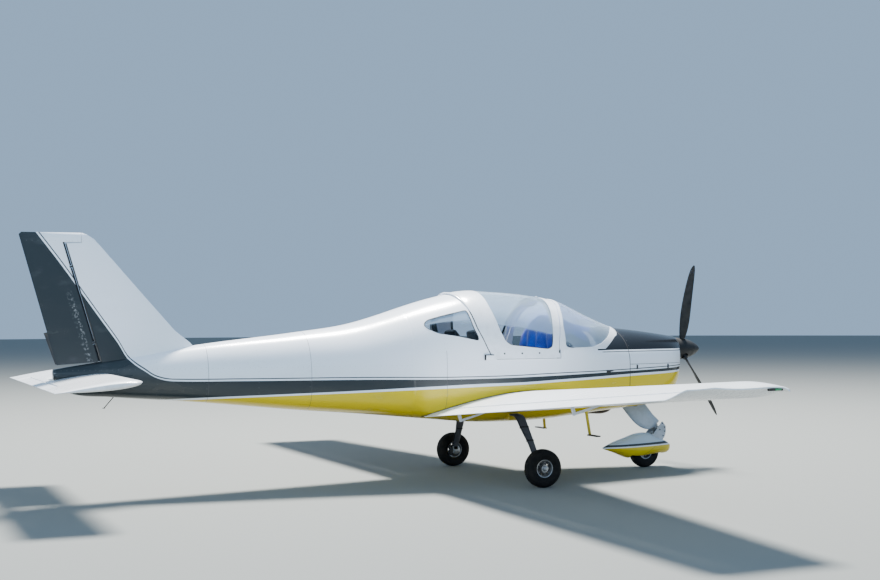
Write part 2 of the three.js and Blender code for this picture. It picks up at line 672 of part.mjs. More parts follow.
function noseLeg() {
  const beam = box(FIREWALL_X - WALL + TOUCH, 1440, -30, 30, 722, 762);
  const bore = bar(legPoint(-80), legPoint(120), 14 + RUN, 14 + RUN, 20);
  return cut(join(strut(0), beam, fairing(0)), bore, forkSweep());
}

// Room for the fork's crown under the leg
function forkSweep() {
  return bar(legPoint(-120), legPoint(2), 90, 90, 18);
}

const FORK = { y0: 66, y1: 72 };
function noseFork() {
  const outline = [
    [1822, 453], [1862, 402], [1862, 342], [1844, 293], [1814, 262], [1672, 130],
    [1640, 132], [1626, 158], [1640, 184], [1715, 328], [1750, 366], [1798, 424],
  ];
  const cheeks = [plate(outline, FORK.y0, FORK.y1), plate(outline, -FORK.y1, -FORK.y0)];
  const crown = plate([
    [1850, 400], [1862, 390], [1862, 350], [1845, 340], [1790, 315], [1765, 322], [1800, 357],
  ], -FORK.y0 - 1, FORK.y0 + 1);
  const stem = bar(legPoint(-48), legPoint(112), 14, 14, 20);
  const axle = bar([NOSE_HUB[0], -FORK.y1, NOSE_HUB[2]], [NOSE_HUB[0], FORK.y1, NOSE_HUB[2]], AXLE_RADIUS, AXLE_RADIUS, 24);
  const collar = bar(legPoint(-38), legPoint(-CLEAR), 34, 34, 20);
  return join(...cheeks, crown, stem, axle, collar);
}

const SPAT_WALL = 4;
// x, half width, bottom, belt, top, roundness below, above
const SPAT = [
  [1180, 9, 198, 207, 214, 2.2, 2.2],
  [1300, 62, 156, 214, 260, 2.3, 2.2],
  [1440, 96, 103, 218, 300, 2.6, 2.3],
  [1560, 109, 98, 221, 335, 2.7, 2.3],
  [1680, 111, 117, 224, 338, 2.8, 2.3],
  [1800, 104, 131, 226, 292, 2.8, 2.2],
  [1876, 92, 134, 219, 256, 2.6, 2.1],
  [1908, 72, 146, 210, 240, 2.4, 2.0],
];
function noseSpat() {
  const rings = (x0, x1, steps, grow) => {
    const list = [];
    for (let i = 0; i <= steps; i += 1) list.push(bodyRing(SPAT, x0 + ((x1 - x0) * i) / steps, grow, 16));
    return loft(list);
  };
  const slots = [-1, 1].map((side) => turned(
    box(1690, 1850, FORK.y0 - TOUCH, FORK.y1 + TOUCH, 240, 350), side,
  ));
  return cut(
    rings(1180, 1908, 8, 0), rings(1240, 1900, 8, -SPAT_WALL),
    box(1455, 1845, -84, 84, 0, 142), ...slots,
  );
}

// Cowl in two halves, with the shaft hole, the chin inlet and the slot for the nose leg
function cowl() {
  const inner = body(DECK, FIREWALL_X - 1, COWL_FRONT_X - COWL_WALL, 7, -COWL_WALL);
  const shaftHole = bar([1900, 0, THRUST_Z], [2200, 0, THRUST_Z], 62, 62, 24);
  const skin = cut(noseBody(), inner, shaftHole);
  const chin = box(1700, 2100, -150, 150, 700, 860);
  return {
    upper: skin.intersect(slab(1000, 2200, COWL_SPLIT_Z, 2000)),
    lower: cut(
      skin.intersect(slab(1000, 2200, 0, COWL_SPLIT_Z - TOUCH)), fairing(CLEAR), strut(CLEAR), chin,
      box(FIREWALL_X - 10, 1320, -150, 150, 500, 640),
    ),
  };
}

// Firewall plate, engine block on its mount, gearbox
function firewall() {
  return cabinInside(TOUCH).intersect(slab(FIREWALL_X - WALL - 12, FIREWALL_X - WALL, 0, FAR));
}

const ENGINE = { x0: 1340, x1: 1800, half: 240, z0: 805, z1: 1200 };
function engineBlock() {
  const block = box(ENGINE.x0, ENGINE.x1, -ENGINE.half, ENGINE.half, ENGINE.z0, ENGINE.z1);
  const gearbox = bar([ENGINE.x1 - 5, 0, THRUST_Z - 15], [1962, 0, THRUST_Z], 78, 62, 24);
  const bore = bar([1925, 0, THRUST_Z], [2100, 0, THRUST_Z], 22 + RUN, 22 + RUN, 24);
  const mounts = [[-150, 880], [150, 880], [-150, 1150], [150, 1150]].map(([y, z]) => (
    bar([FIREWALL_X - WALL - 10, y * 1.5, z], [ENGINE.x0 + 5, y, z], 11, 11, 12)
  ));
  return cut(join(block, gearbox, ...mounts), bore, slab(0, FIREWALL_X - WALL + TOUCH, 0, FAR));
}

// Propeller with three blades, and its spinner
const PROP = { x: 2092, radius: 863, blades: 3, phase: 0.277, rootRadius: 24 };
function blade(angle) {
  // distance from the hub, chord, thickness, twist in degrees, sweep of the middle
  const rows = [
    [118, 58, 34, 52, 0], [200, 84, 26, 44, 0], [330, 104, 18, 34, 4], [500, 102, 13, 26, 8],
    [680, 86, 9, 20, 6], [800, 62, 7, 17, 0], [PROP.radius, 26, 4, 16, -8],
  ];
  const rings = rows.map(([r, chord, thick, twist, sweep]) => {
    const ring = [];
    for (let i = 0; i < 10; i += 1) {
      const turn = (2 * Math.PI * i) / 10;
      const u = (chord / 2) * Math.cos(turn) + sweep;
      const v = (thick / 2) * Math.sin(turn);
      const t = (-twist * Math.PI) / 180;
      ring.push([u * Math.sin(t) + v * Math.cos(t), u * Math.cos(t) - v * Math.sin(t), r]);
    }
    return ring;
  });
  const shape = loft(rings).add(bar([0, 0, 10], [0, 0, 128], PROP.rootRadius, PROP.rootRadius, 16));
  return shape.rotate([(angle * 180) / Math.PI, 0, 0]).translate([PROP.x, 0, THRUST_Z]);
}

function propeller() {
  const blades = Array.from({ length: PROP.blades }, (_, k) => (
    blade(PROP.phase + (2 * Math.PI * k) / PROP.blades)
  ));
  const hub = bar([PROP.x - 26, 0, THRUST_Z], [PROP.x + 34, 0, THRUST_Z], 56, 56, 24);
  const shaft = bar([1935, 0, THRUST_Z], [PROP.x, 0, THRUST_Z], 22, 22, 24);
  return join(hub, shaft, ...blades);
}

function spinner() {
  const [back, length, radius] = [COWL_FRONT_X + 12, NOSE_X - COWL_FRONT_X - 12, 112];
  const shape = (wall) => {
    const points = [new THREE.Vector2(0, 0), new THREE.Vector2(radius - wall, 0)];
    for (let i = 1; i < 6; i += 1) {
      const s = Math.sin((Math.PI / 2) * (i / 6));
      points.push(new THREE.Vector2((radius - wall) * (1 - s ** 2.1) ** 0.72, (length - wall) * s));
    }
    points.push(new THREE.Vector2(0, length - wall));
    return new THREE.LatheGeometry(points, 24).rotateZ(-Math.PI / 2);
  };
  const outer = solid(shape(0).translate(back, 0, THRUST_Z));
  const inner = solid(shape(4).translate(back + 4, 0, THRUST_Z));
  const roots = Array.from({ length: PROP.blades }, (_, k) => {
    const angle = PROP.phase + (2 * Math.PI * k) / PROP.blades;
    const reach = 200;
    return bar([PROP.x, 0, THRUST_Z], [
      PROP.x, -Math.sin(angle) * reach, THRUST_Z + Math.cos(angle) * reach,
    ], PROP.rootRadius + 14, PROP.rootRadius + 14, 12);
  });
  const shaftHole = bar([back - 10, 0, THRUST_Z], [back + 10, 0, THRUST_Z], 22 + TOUCH, 22 + TOUCH, 24);
  return cut(outer, inner, shaftHole, ...roots);
}

// Canopy: white hoop and sills with one blown pane over the top
const CANOPY = { inner: 5, outer: 11 };
function canopySkin(inner, outer) {
  const range = [-560, 600, 8];
  return body(CANOPY_HULL, ...range, outer).subtract(body(CANOPY_HULL, range[0] - 1, range[1] + 1, range[2], inner));
}

function canopyFrame() {
  const skin = canopySkin(CANOPY.inner, CANOPY.outer)
    .intersect(plate(canopySide(0, SILL_Z + CLEAR, frontSeam(-SEAM_HALF, SILL_Z + CLEAR)), -FAR, FAR));
  const shoes = [-1, 1].map((side) => {
    const [y, half, gap] = [RAIL.y, RAIL.half, RUN];
    const shoe = cut(
      box(330, 400, y - 14, y + 14, RAIL.shelf + 16, 1150),
      box(320, 410, y - half - gap, y + half + gap, 0, RAIL.top + gap + 0.2),
    );
    const arm = box(330, 400, y, 549, 1122, 1150);
    return turned(join(shoe, arm), side);
  });
  return join(skin.subtract(plate(CANOPY_WINDOW, -FAR, FAR)), ...shoes);
}

const canopyGlass = () => canopySkin(CANOPY.inner + 1.5, CANOPY.outer - 1.5)
  .intersect(plate(shrunk(CANOPY_WINDOW, 0.5), -FAR, FAR));

// Windscreen: frame along the hoop and the base, and one pane
function screenSkin(inset) {
  const lowest = SCREEN_SILL_Z + TOUCH;
  const inner = body(BUBBLE, 380, 1300, 9, -8 + inset);
  const canopySpace = plate([[0, 0], ...frontSeam(SEAM_HALF, 0), [0, ROOF_Z]], -FAR, FAR);
  return cut(
    body(BUBBLE, 381, 1285, 9, -inset), inner, fullBody(TOUCH),
    body(DECK, FIREWALL_X - 1, COWL_FRONT_X, 7, TOUCH), slab(0, FAR, 0, lowest), canopySpace,
  );
}

const screenFrame = () => screenSkin(0).subtract(plate(SCREEN_WINDOW, -FAR, FAR));
const screenGlass = () => screenSkin(2).intersect(plate(shrunk(SCREEN_WINDOW, 0.5), -FAR, FAR));

function rearGlass(side) {
  const pane = body(HULL, -1000, -300, 5, -5).subtract(body(HULL, -1001, -299, 5, -9));
  const half = box(-1100, -200, side > 0 ? 50 : -FAR, side > 0 ? FAR : -50, 0, FAR);
  return pane.intersect(plate(shrunk(REAR_WINDOW, 0.5), -FAR, FAR)).intersect(half);
}

// Cabin fittings
const SEAT = { y: 245, half: 205 };
function seat(side) {
  const outline = [
    [-150, 690], [350, 690], [392, 725], [385, 800], [330, 815], [-60, 780],
    [-250, 1160], [-300, 1330], [-345, 1352], [-388, 1338], [-384, 1270], [-300, 1040], [-190, 730],
  ];
  const base = box(-60, 300, -110, 110, 500, 691);
  return join(plate(outline, -SEAT.half, SEAT.half), base).translate([0, side * SEAT.y, 0])
    .intersect(cabinInside(TOUCH));
}

function instrumentPanel() {
  const cover = slab(PANEL_X + 20, PANEL_X + 260, 1250, FAR);
  const board = slab(PANEL_X + 20, PANEL_X + 50, 960, FAR);
  return join(cover, board).intersect(cabinInside(TOUCH));
}

// Boarding step in front of the wing
function step(side) {
  const tube = bar([735, 414, 690], [775, 437, 392], 14, 14, 14);
  const pad = box(750, 795, 424, 600, 380, 392);
  return turned(join(tube, pad).subtract(fullBody(TOUCH)), side);
}

// The scene
const { fin, rudder } = finAndRudder();
const { stabilator, tab } = stabilatorAndTab();
const cowlHalves = cowl();
const left = wingPieces(1);
const right = wingPieces(-1);
const offsetHub = (side) => [MAIN_HUB[0], side * MAIN_HUB[1], MAIN_HUB[2]];

// node name, solid, material
const pieces = [
  ['cabin_shell', cabinShell(), WHITE],
  ['tail_cone', tailCone(), WHITE],
  ['cowl_upper', cowlHalves.upper, BLACK],
  ['cowl_lower', cowlHalves.lower, YELLOW],
  ['firewall', firewall(), ALUMINIUM],
  ['engine_block', engineBlock(), IRON],
  ['windscreen_frame', screenFrame(), WHITE],
  ['windscreen_glass', screenGlass(), GLASS],
  ['canopy_frame', canopyFrame(), WHITE],
  ['canopy_glass', canopyGlass(), GLASS],
  ['rear_window_left', rearGlass(1), GLASS],
  ['rear_window_right', rearGlass(-1), GLASS],
  ['seat_left', seat(1), FABRIC],
  ['seat_right', seat(-1), FABRIC],
  ['instrument_panel', instrumentPanel(), BLUE],
  ['fin', fin, WHITE],
  ['rudder', rudder, GREY],
  ['stabilator', stabilator, WHITE],
  ['stabilator_tab', tab, WHITE],
  ['wing_left', left.wing, WHITE],
  ['wing_right', right.wing, WHITE],
  ['flap_left', left.flap, WHITE],
  ['flap_right', right.flap, WHITE],
  ['aileron_left', left.aileron, WHITE],
  ['aileron_right', right.aileron, WHITE],
  ['wing_tip_left', left.tip, WHITE],
  ['wing_tip_right', right.tip, WHITE],
  ['main_leg_left', mainLeg(1), STEEL],
  ['main_leg_right', mainLeg(-1), STEEL],
  ['main_tyre_left', tyre(MAIN_TYRE, offsetHub(1)), RUBBER],
  ['main_tyre_right', tyre(MAIN_TYRE, offsetHub(-1)), RUBBER],
  ['main_rim_left', rim(MAIN_TYRE, offsetHub(1)), ALUMINIUM],
  ['main_rim_right', rim(MAIN_TYRE, offsetHub(-1)), ALUMINIUM],
  ['nose_leg', noseLeg(), WHITE],
  ['nose_fork', noseFork(), ALUMINIUM],
  ['nose_spat', noseSpat(), YELLOW],
  ['nose_tyre', tyre(NOSE_TYRE, NOSE_HUB), RUBBER],
  ['nose_rim', rim(NOSE_TYRE, NOSE_HUB), ALUMINIUM],
  ['propeller', propeller(), BLACK],
  ['spinner', spinner(), BLACK],
  ['step_left', step(1), YELLOW],
  ['step_right', step(-1), YELLOW],
];

const airframe = new THREE.Group();
airframe.position.x = -(NOSE_X + TAIL_X) / 2;
for (const [name, piece, material] of pieces) {
  const mesh = new THREE.Mesh(geometryOf(piece), material);
  mesh.name = name;
  airframe.add(mesh);
}

const aircraft = new THREE.Group();
aircraft.add(airframe);

export default aircraft;
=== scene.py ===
"""A two-seat low-wing light aircraft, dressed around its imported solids."""

import math
import random

import bpy
from mathutils import Matrix, Vector


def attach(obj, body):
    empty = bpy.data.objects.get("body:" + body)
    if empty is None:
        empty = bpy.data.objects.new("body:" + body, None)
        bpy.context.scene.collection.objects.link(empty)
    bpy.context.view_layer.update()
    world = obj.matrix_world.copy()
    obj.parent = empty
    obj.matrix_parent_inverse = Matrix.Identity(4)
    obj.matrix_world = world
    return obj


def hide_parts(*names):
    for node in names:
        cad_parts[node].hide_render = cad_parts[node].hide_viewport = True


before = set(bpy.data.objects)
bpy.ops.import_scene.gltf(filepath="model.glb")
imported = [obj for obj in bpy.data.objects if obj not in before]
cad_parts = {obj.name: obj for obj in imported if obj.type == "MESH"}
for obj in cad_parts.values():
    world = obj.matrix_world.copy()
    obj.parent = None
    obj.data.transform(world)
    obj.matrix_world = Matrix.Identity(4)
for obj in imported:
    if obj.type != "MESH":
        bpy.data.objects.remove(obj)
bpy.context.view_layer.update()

# Shapes are made in millimetres, forward from the main axle, left and up from the ground
MM = 0.001
AXLE_X = 0.9875
NOSE_X = 2316
CONE_X = -1000
FIREWALL_X = 1200
COWL_FRONT_X = 1990
SPINNER_BACK_X = 2002
COWL_SPLIT_Z = 1040
SILL_Z = 1110
RAIL_Y = 500
HOOP_X = 455
PANEL_X = 760
SCREEN_SILL_Z = 1190
THRUST_Z = 1165
FAR = 3000
WALL = 15
SIDES = {1: "left", -1: "right"}

# x, half width, belly, belt line, top, roundness below, roundness above the belt
HULL = [
    (-4020, 45, 1000, 1042, 1080, 2.2, 2.0),
    (-3880, 64, 880, 1025, 1103, 2.3, 2.0),
    (-3560, 105, 842, 1005, 1150, 2.5, 2.1),
    (-2840, 200, 780, 975, 1264, 2.8, 2.1),
    (-1990, 312, 690, 955, 1362, 3.2, 2.2),
    (-1440, 398, 642, 965, 1442, 3.5, 2.2),
    (-720, 522, 569, 1015, 1650, 4.0, 2.3),
    (-350, 548, 534, 1040, 1724, 4.2, 2.3),
    (-60, 552, 526, 1050, 1718, 4.2, 2.3),
    (200, 551, 528, 1050, 1700, 4.2, 2.3),
    (460, 546, 540, 1050, 1664, 4.2, 2.3),
]
DECK = [
    (455, 546, 540, 1050, 1430, 4.2, 3.6),
    (600, 542, 553, 1050, 1400, 4.1, 3.3),
    (760, 535, 566, 1050, 1388, 4.0, 2.7),
    (900, 521, 578, 1048, 1386, 3.9, 2.3),
    (1200, 470, 600, 1040, 1385, 3.6, 2.1),
    (1500, 425, 620, 1050, 1357, 3.2, 2.2),
    (1750, 365, 655, 1080, 1325, 2.9, 2.2),
    (1900, 268, 760, 1105, 1304, 2.6, 2.2),
    (1960, 178, 880, 1140, 1295, 2.4, 2.2),
    (1995, 118, 985, 1160, 1288, 2.2, 2.1),
]
BUBBLE = [
    (380, 561, 900, 1050, 1694, 2.3, 2.3),
    (440, 559, 900, 1050, 1682, 2.3, 2.3),
    (600, 549, 900, 1050, 1648, 2.3, 2.3),
    (760, 530, 900, 1050, 1578, 2.3, 2.3),
    (900, 506, 900, 1050, 1514, 2.3, 2.3),
    (1100, 418, 900, 1050, 1436, 2.3, 2.3),
    (1200, 360, 900, 1050, 1403, 2.3, 2.3),
    (1285, 160, 900, 1050, 1376, 2.3, 2.3),
]
# The canopy's own skin runs on forward at the top, where its front hoop leans over the windscreen
CANOPY_HULL = HULL + [(620, 540, 553, 1050, 1618, 4.2, 2.3)]

# Outlines in side view
REAR_WINDOW = [
    (-890, 1429), (-851, 1468), (-705, 1507), (-479, 1556), (-464, 1540), (-443, 1396), (-407, 1307),
    (-415, 1281), (-583, 1318), (-778, 1349), (-872, 1395),
]
CANOPY_REAR = [(-280, 1116), (-327, 1207), (-407, 1396), (-446, 1572), (-466, 1705)]
CANOPY_SEAM = [
    (404, 1100), (404, 1158), (387, 1161), (398, 1248), (437, 1410), (465, 1533), (508, 1617), (560, 1670),
    (580, 1850),
]
CANOPY_WINDOW = [
    (-156, 1275), (-104, 1238), (281, 1197), (325, 1219), (358, 1411), (385, 1534), (405, 1617), (420, 1850),
    (-262, 1850), (-244, 1576), (-197, 1375),
]
SCREEN_WINDOW = [
    (471, 1410), (466, 1217), (518, 1204), (773, 1212), (888, 1245), (982, 1291), (1049, 1332), (1093, 1362),
    (1165, 1392), (1225, 1397), (1180, 1700), (585, 1850), (585, 1690), (507, 1554),
]


# Working on a piece
def only(*pieces):
    bpy.ops.object.select_all(action="DESELECT")
    for piece in pieces:
        piece.select_set(True)
    bpy.context.view_layer.objects.active = pieces[0]


def named(name):
    piece = bpy.context.active_object
    piece.name = piece.data.name = name
    return piece


def edited(piece, *steps, faces=None):
    """Edit-mode steps on all of a piece, or on the faces that pass a test."""
    only(piece)
    bpy.ops.object.mode_set(mode="EDIT")
    bpy.ops.mesh.select_mode(type="FACE")
    bpy.ops.mesh.select_all(action="DESELECT" if faces else "SELECT")
    if faces:
        bpy.ops.object.mode_set(mode="OBJECT")
        for face in piece.data.polygons:
            face.select = bool(faces(face))
        bpy.ops.object.mode_set(mode="EDIT")
    for step in steps:
        step()
    bpy.ops.object.mode_set(mode="OBJECT")
    return piece


def closed_up(piece, gap=0.02):
    return edited(
        piece,
        lambda: bpy.ops.mesh.remove_doubles(threshold=gap),
        lambda: bpy.ops.mesh.fill_holes(sides=0),
        lambda: bpy.ops.mesh.normals_make_consistent(inside=False),
    )


def modified(piece, kind, **settings):
    only(piece)
    modifier = piece.modifiers.new(kind, kind)
    for name, value in settings.items():
        setattr(modifier, name, value)
    bpy.ops.object.modifier_apply(modifier=modifier.name)
    return piece


def carved(piece, *tools, how="DIFFERENCE"):
    for tool in tools:
        modified(piece, "BOOLEAN", object=tool, operation=how, solver="EXACT")
        bpy.data.objects.remove(tool)
    return piece


def merged(name, *pieces):
    only(*pieces)
    bpy.ops.object.join()
    return named(name)


def bevelled(piece, width, segments=2, angle=40):
    return modified(
        piece, "BEVEL", width=width, segments=segments, limit_method="ANGLE",
        angle_limit=math.radians(angle), harden_normals=False,
    )


def finished(piece, body, finish, nodes=(), angle=32):
    """Puts a piece in the row frame, in metres, and fastens it to its body."""
    piece.data.transform(Matrix.Translation((AXLE_X, 0, 0)) @ Matrix.Diagonal((MM, MM, MM, 1)))
    only(piece)
    bpy.ops.object.shade_smooth_by_angle(angle=math.radians(angle))
    if finish is not None:
        piece.data.materials.clear()
        piece.data.materials.append(finish)
    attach(piece, body)
    if nodes:
        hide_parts(*nodes)
    return piece


def sided(piece, side, name):
    """A piece made for the left side, moved to its own side."""
    if side < 0:
        piece.data.transform(Matrix.Diagonal((1, -1, 1, 1)))
        piece.data.flip_normals()
    piece.name = piece.data.name = name
    return piece


# Basic shapes
def lofted(name, sections, closed=True):
    """A skin over sections of equal point count."""
    count = len(sections[0])
    across, along = count if closed else count - 1, len(sections) - 1
    bpy.ops.object.select_all(action="DESELECT")
    bpy.ops.mesh.primitive_grid_add(x_subdivisions=across, y_subdivisions=along, size=1)
    piece = named(name)
    for vertex in piece.data.vertices:
        i = round((vertex.co.x + 0.5) * across) % count
        j = round((vertex.co.y + 0.5) * along)
        vertex.co = sections[j][i]
    return closed_up(piece) if closed else piece


def prism(name, outline, y0, y1):
    """A plate whose outline is given in side view."""
    bpy.ops.object.select_all(action="DESELECT")
    bpy.ops.mesh.primitive_circle_add(vertices=len(outline), fill_type="NGON")
    piece = named(name)
    for vertex, (x, z) in zip(piece.data.vertices, outline):
        vertex.co = (x, y0, z)
    return edited(
        piece,
        lambda: bpy.ops.mesh.extrude_region_move(TRANSFORM_OT_translate={"value": (0, y1 - y0, 0)}),
        lambda: bpy.ops.mesh.select_all(action="SELECT"),
        lambda: bpy.ops.mesh.normals_make_consistent(inside=False),
    )


def brick(name, low, high, bevel=0.0, segments=2):
    low, high = Vector(low), Vector(high)
    bpy.ops.object.select_all(action="DESELECT")
    bpy.ops.mesh.primitive_cube_add(size=1, location=(low + high) / 2, scale=high - low)
    piece = named(name)
    bpy.ops.object.transform_apply(location=True, rotation=True, scale=True)
    return bevelled(piece, bevel, segments) if bevel else piece


def rod(name, start, end, radius, end_radius=None, sides=24, bevel=0.0):
    start, end = Vector(start), Vector(end)
    turn = (end - start).to_track_quat("Z", "Y").to_euler()
    bpy.ops.object.select_all(action="DESELECT")
    bpy.ops.mesh.primitive_cone_add(
        vertices=sides, radius1=radius, radius2=radius if end_radius is None else end_radius,
        depth=(end - start).length, location=(start + end) / 2, rotation=turn,
    )
    piece = named(name)
    bpy.ops.object.transform_apply(location=True, rotation=True, scale=True)
    return bevelled(piece, bevel) if bevel else piece


def spun(name, profile, centre, axis, steps=64):
    """A closed profile of radius and distance along the axis, spun all the way round."""
    axis, centre = Vector(axis).normalized(), Vector(centre)
    outwards = axis.orthogonal().normalized()
    bpy.ops.object.select_all(action="DESELECT")
    bpy.ops.mesh.primitive_circle_add(vertices=len(profile))
    piece = named(name)
    for vertex, (radius, along) in zip(piece.data.vertices, profile):
        vertex.co = centre + outwards * radius + axis * along
    edited(piece, lambda: bpy.ops.mesh.spin(
        steps=steps, angle=2 * math.pi, center=centre, axis=axis, dupli=False,
    ))
    return edited(
        piece,
        lambda: bpy.ops.mesh.remove_doubles(threshold=0.02),
        lambda: bpy.ops.mesh.normals_make_consistent(inside=False),
    )


def pipe(name, points, radius, smooth=True):
    """A tube along points, as a curve turned to mesh."""
    line = bpy.data.curves.new(name, "CURVE")
    line.dimensions = "3D"
    line.bevel_depth = radius
    line.bevel_resolution = 3
    line.use_fill_caps = True
    line.resolution_u = 6
    spline = line.splines.new("BEZIER")
    spline.bezier_points.add(len(points) - 1)
    for knot, place in zip(spline.bezier_points, points):
        knot.co = place
        knot.handle_left_type = knot.handle_right_type = "AUTO" if smooth else "VECTOR"
    piece = bpy.data.objects.new(name, line)
    bpy.context.scene.collection.objects.link(piece)
    only(piece)
    bpy.ops.object.convert(target="MESH")
    return named(name)


def rounded(outline, radius, steps=6):
    """An outline with its corners cut to curves."""
    points = []
    for i, corner in enumerate(outline):
        here = Vector(corner)
        before, after = Vector(outline[i - 1]) - here, Vector(outline[(i + 1) % len(outline)]) - here
        start = here + before.normalized() * min(radius, before.length * 0.45)
        end = here + after.normalized() * min(radius, after.length * 0.45)
        for k in range(steps + 1):
            t = k / steps
            points.append(tuple(start * (1 - t) ** 2 + here * 2 * t * (1 - t) + end * t ** 2))
    return points


def grown(outline, by):
    """An outline moved outwards by a distance, or inwards if it is negative."""
    area = sum(a[0] * b[1] - b[0] * a[1] for a, b in zip(outline, outline[1:] + outline[:1]))
    side = 1 if area > 0 else -1
    points = []
    for i, corner in enumerate(outline):
        before, after = Vector(outline[i - 1]), Vector(outline[(i + 1) % len(outline)])
        along = (after - before).normalized()
        points.append((corner[0] + along.y * by * side, corner[1] - along.x * by * side))
    return points


def slab(name, x0, x1, z0, z1):
    return brick(name, (x0, -FAR, z0), (x1, FAR, z1))


REAR_WINDOW_EDGE = rounded(REAR_WINDOW, 30)
CANOPY_WINDOW_EDGE = rounded(CANOPY_WINDOW, 26)


def through(outline, reach=FAR):
    """A tool with an outline in side view, right through the aircraft."""
    return prism("cut", outline, -reach, reach)


# Fuselage sections
def row_at(table, where):
    """The smooth curve through a table's rows, as the solids have it."""
    last = len(table) - 1
    i = 0
    while i < last - 1 and where > table[i + 1][0]:
        i += 1
    before, low, high, after = table[max(i - 1, 0)], table[i], table[i + 1], table[min(i + 2, last)]
    span = high[0] - low[0]
    t = min(max((where - low[0]) / span, 0.0), 1.0)
    row = []
    for column in range(1, len(low)):
        slope_low = (high[column] - before[column]) / (high[0] - before[0])
        slope_high = (after[column] - low[column]) / (after[0] - low[0])
        rise = high[column] - low[column]
        a, b = slope_low * span - rise, rise - slope_high * span
        row.append(low[column] + rise * t + t * (1 - t) * (a * (1 - t) + b * t))
    return row


def section_point(table, x, angle, grow=0.0):
    half, belly, belt, top, below, above = row_at(table, x)
    across, up = math.cos(angle), math.sin(angle)
    power = above if up > 0 else below
    reach = (abs(across) ** power + abs(up) ** power) ** (-1 / power)
    height = (top + grow - belt) if up > 0 else (belt - belly + grow)
    return x, (half + grow) * across * reach, belt + height * up * reach


def side_y(table, x, z, grow=0.0):
    """Half width of the body at a place in side view."""
    half, belly, belt, top, below, above = row_at(table, x)
    power = above if z > belt else below
    height = (top + grow - belt) if z > belt else (belt - belly + grow)
    share = min(abs(z - belt) / height, 1.0)
    return (half + grow) * (1 - share ** power) ** (1 / power)


def body_solid(name, table, x0, x1, grow=0.0, step=24, count=96):
    rows = max(2, math.ceil((x1 - x0) / step))
    places = [x0 + (x1 - x0) * k / rows for k in range(rows + 1)]
    turns = [2 * math.pi * i / count for i in range(count)]
    return lofted(name, [[section_point(table, x, turn, grow) for turn in turns] for x in places])


def body_shell(name, table, x0, x1, outer, wall, step=24, count=96):
    """A tube of the body's own section, open at both ends, with a wall inwards."""
    piece = body_solid(name, table, x0, x1, outer, step, count)
    edited(piece, lambda: bpy.ops.mesh.delete(type="ONLY_FACE"), faces=lambda f: len(f.vertices) > 4)
    return modified(piece, "SOLIDIFY", thickness=wall, offset=-1, use_even_offset=True)


def hull_tool():
    """The cabin's outside with a hair of room, to cut what meets it."""
    return body_solid("cut", HULL, CONE_X, HOOP_X, 0.3)


# Finishes
def add(tree, kind, inputs=None, **settings):
    """A node, with its settings, and its inputs set or linked."""
    node = tree.nodes.new(kind)
    for name, value in settings.items():
        setattr(node, name, value)
    for socket, value in (inputs or {}).items():
        if isinstance(value, bpy.types.NodeSocket):
            tree.links.new(value, node.inputs[socket])
        else:
            node.inputs[socket].default_value = value
    return node


def calc(tree, operation, *values, clamp=False):
    node = add(tree, "ShaderNodeMath", dict(enumerate(values)), operation=operation, use_clamp=clamp)
    return node.outputs[0]


def times(tree, a, b, clamp=False):
    return calc(tree, "MULTIPLY", a, b, clamp=clamp)


def minus(tree, a, b, clamp=False):
    return calc(tree, "SUBTRACT", a, b, clamp=clamp)


def most(tree, *values):
    total = values[0]
    for value in values[1:]:
        total = calc(tree, "MAXIMUM", total, value)
    return total


def shaded(tree, mask, a, b, blend="MIX"):
    """Colour a, turning to colour b where the mask is one."""
    node = add(tree, "ShaderNodeMix", {0: mask, 6: a, 7: b}, data_type="RGBA", blend_type=blend)
    return node.outputs[2]


def ramp(tree, value, low, high, start=0.0, end=1.0):
    return add(tree, "ShaderNodeMapRange", {
        0: value, 1: low, 2: high, 3: start, 4: end,
    }, interpolation_type="SMOOTHSTEP").outputs[0]


def noise(tree, place, scale, detail=3.0, stretch=None):
    if stretch:
        place = add(tree, "ShaderNodeMapping", {"Vector": place, "Scale": stretch}).outputs[0]
    return add(tree, "ShaderNodeTexNoise", {"Vector": place, "Scale": scale, "Detail": detail}).outputs["Fac"]


def split(tree, vector):
    return add(tree, "ShaderNodeSeparateXYZ", {0: vector}).outputs


def curve_of(tree, value, low, high, points):
    """A smooth curve through points of where and height, both in metres."""
    span, base = 2.0, 0.6
    node = tree.nodes.new("ShaderNodeFloatCurve")
    tree.links.new(add(tree, "ShaderNodeMapRange", {0: value, 1: low, 2: high}).outputs[0], node.inputs[1])
    line = node.mapping.curves[0]
    scaled = [((x - low) / (high - low), (z - base) / span) for x, z in points]
    while len(line.points) < len(scaled):
        line.points.new(0.5, 0.5)
    for knot, (x, z) in zip(line.points, scaled):
        knot.location = (min(max(x, 0.0), 1.0), min(max(z, 0.0), 1.0))
        knot.handle_type = "AUTO_CLAMPED"
    node.mapping.update()
    return calc(tree, "MULTIPLY_ADD", node.outputs[0], span, base)


def group_of(name, inputs, outputs, fill):
    """A shader node group with named sockets; fill gets its tree, inputs and the output node."""
    tree = bpy.data.node_groups.new(name, "ShaderNodeTree")
    for socket, kind, default in inputs:
        made = tree.interface.new_socket(socket, in_out="INPUT", socket_type=kind)
        if default is not None:
            made.default_value = default
    for socket, kind in outputs:
        tree.interface.new_socket(socket, in_out="OUTPUT", socket_type=kind)
    given = tree.nodes.new("NodeGroupInput").outputs
    result = tree.nodes.new("NodeGroupOutput").inputs
    for socket, value in fill(tree, given).items():
        tree.links.new(value, result[socket])
    return tree


def placed(tree, group, **inputs):
    node = tree.nodes.new("ShaderNodeGroup")
    node.node_tree = group
    for socket, value in inputs.items():
        target = node.inputs[socket.replace("_", " ")]
        if isinstance(value, bpy.types.NodeSocket):
            tree.links.new(value, target)
        else:
            target.default_value = value
    return node.outputs


VALUE, VECTOR = "NodeSocketFloat", "NodeSocketVector"


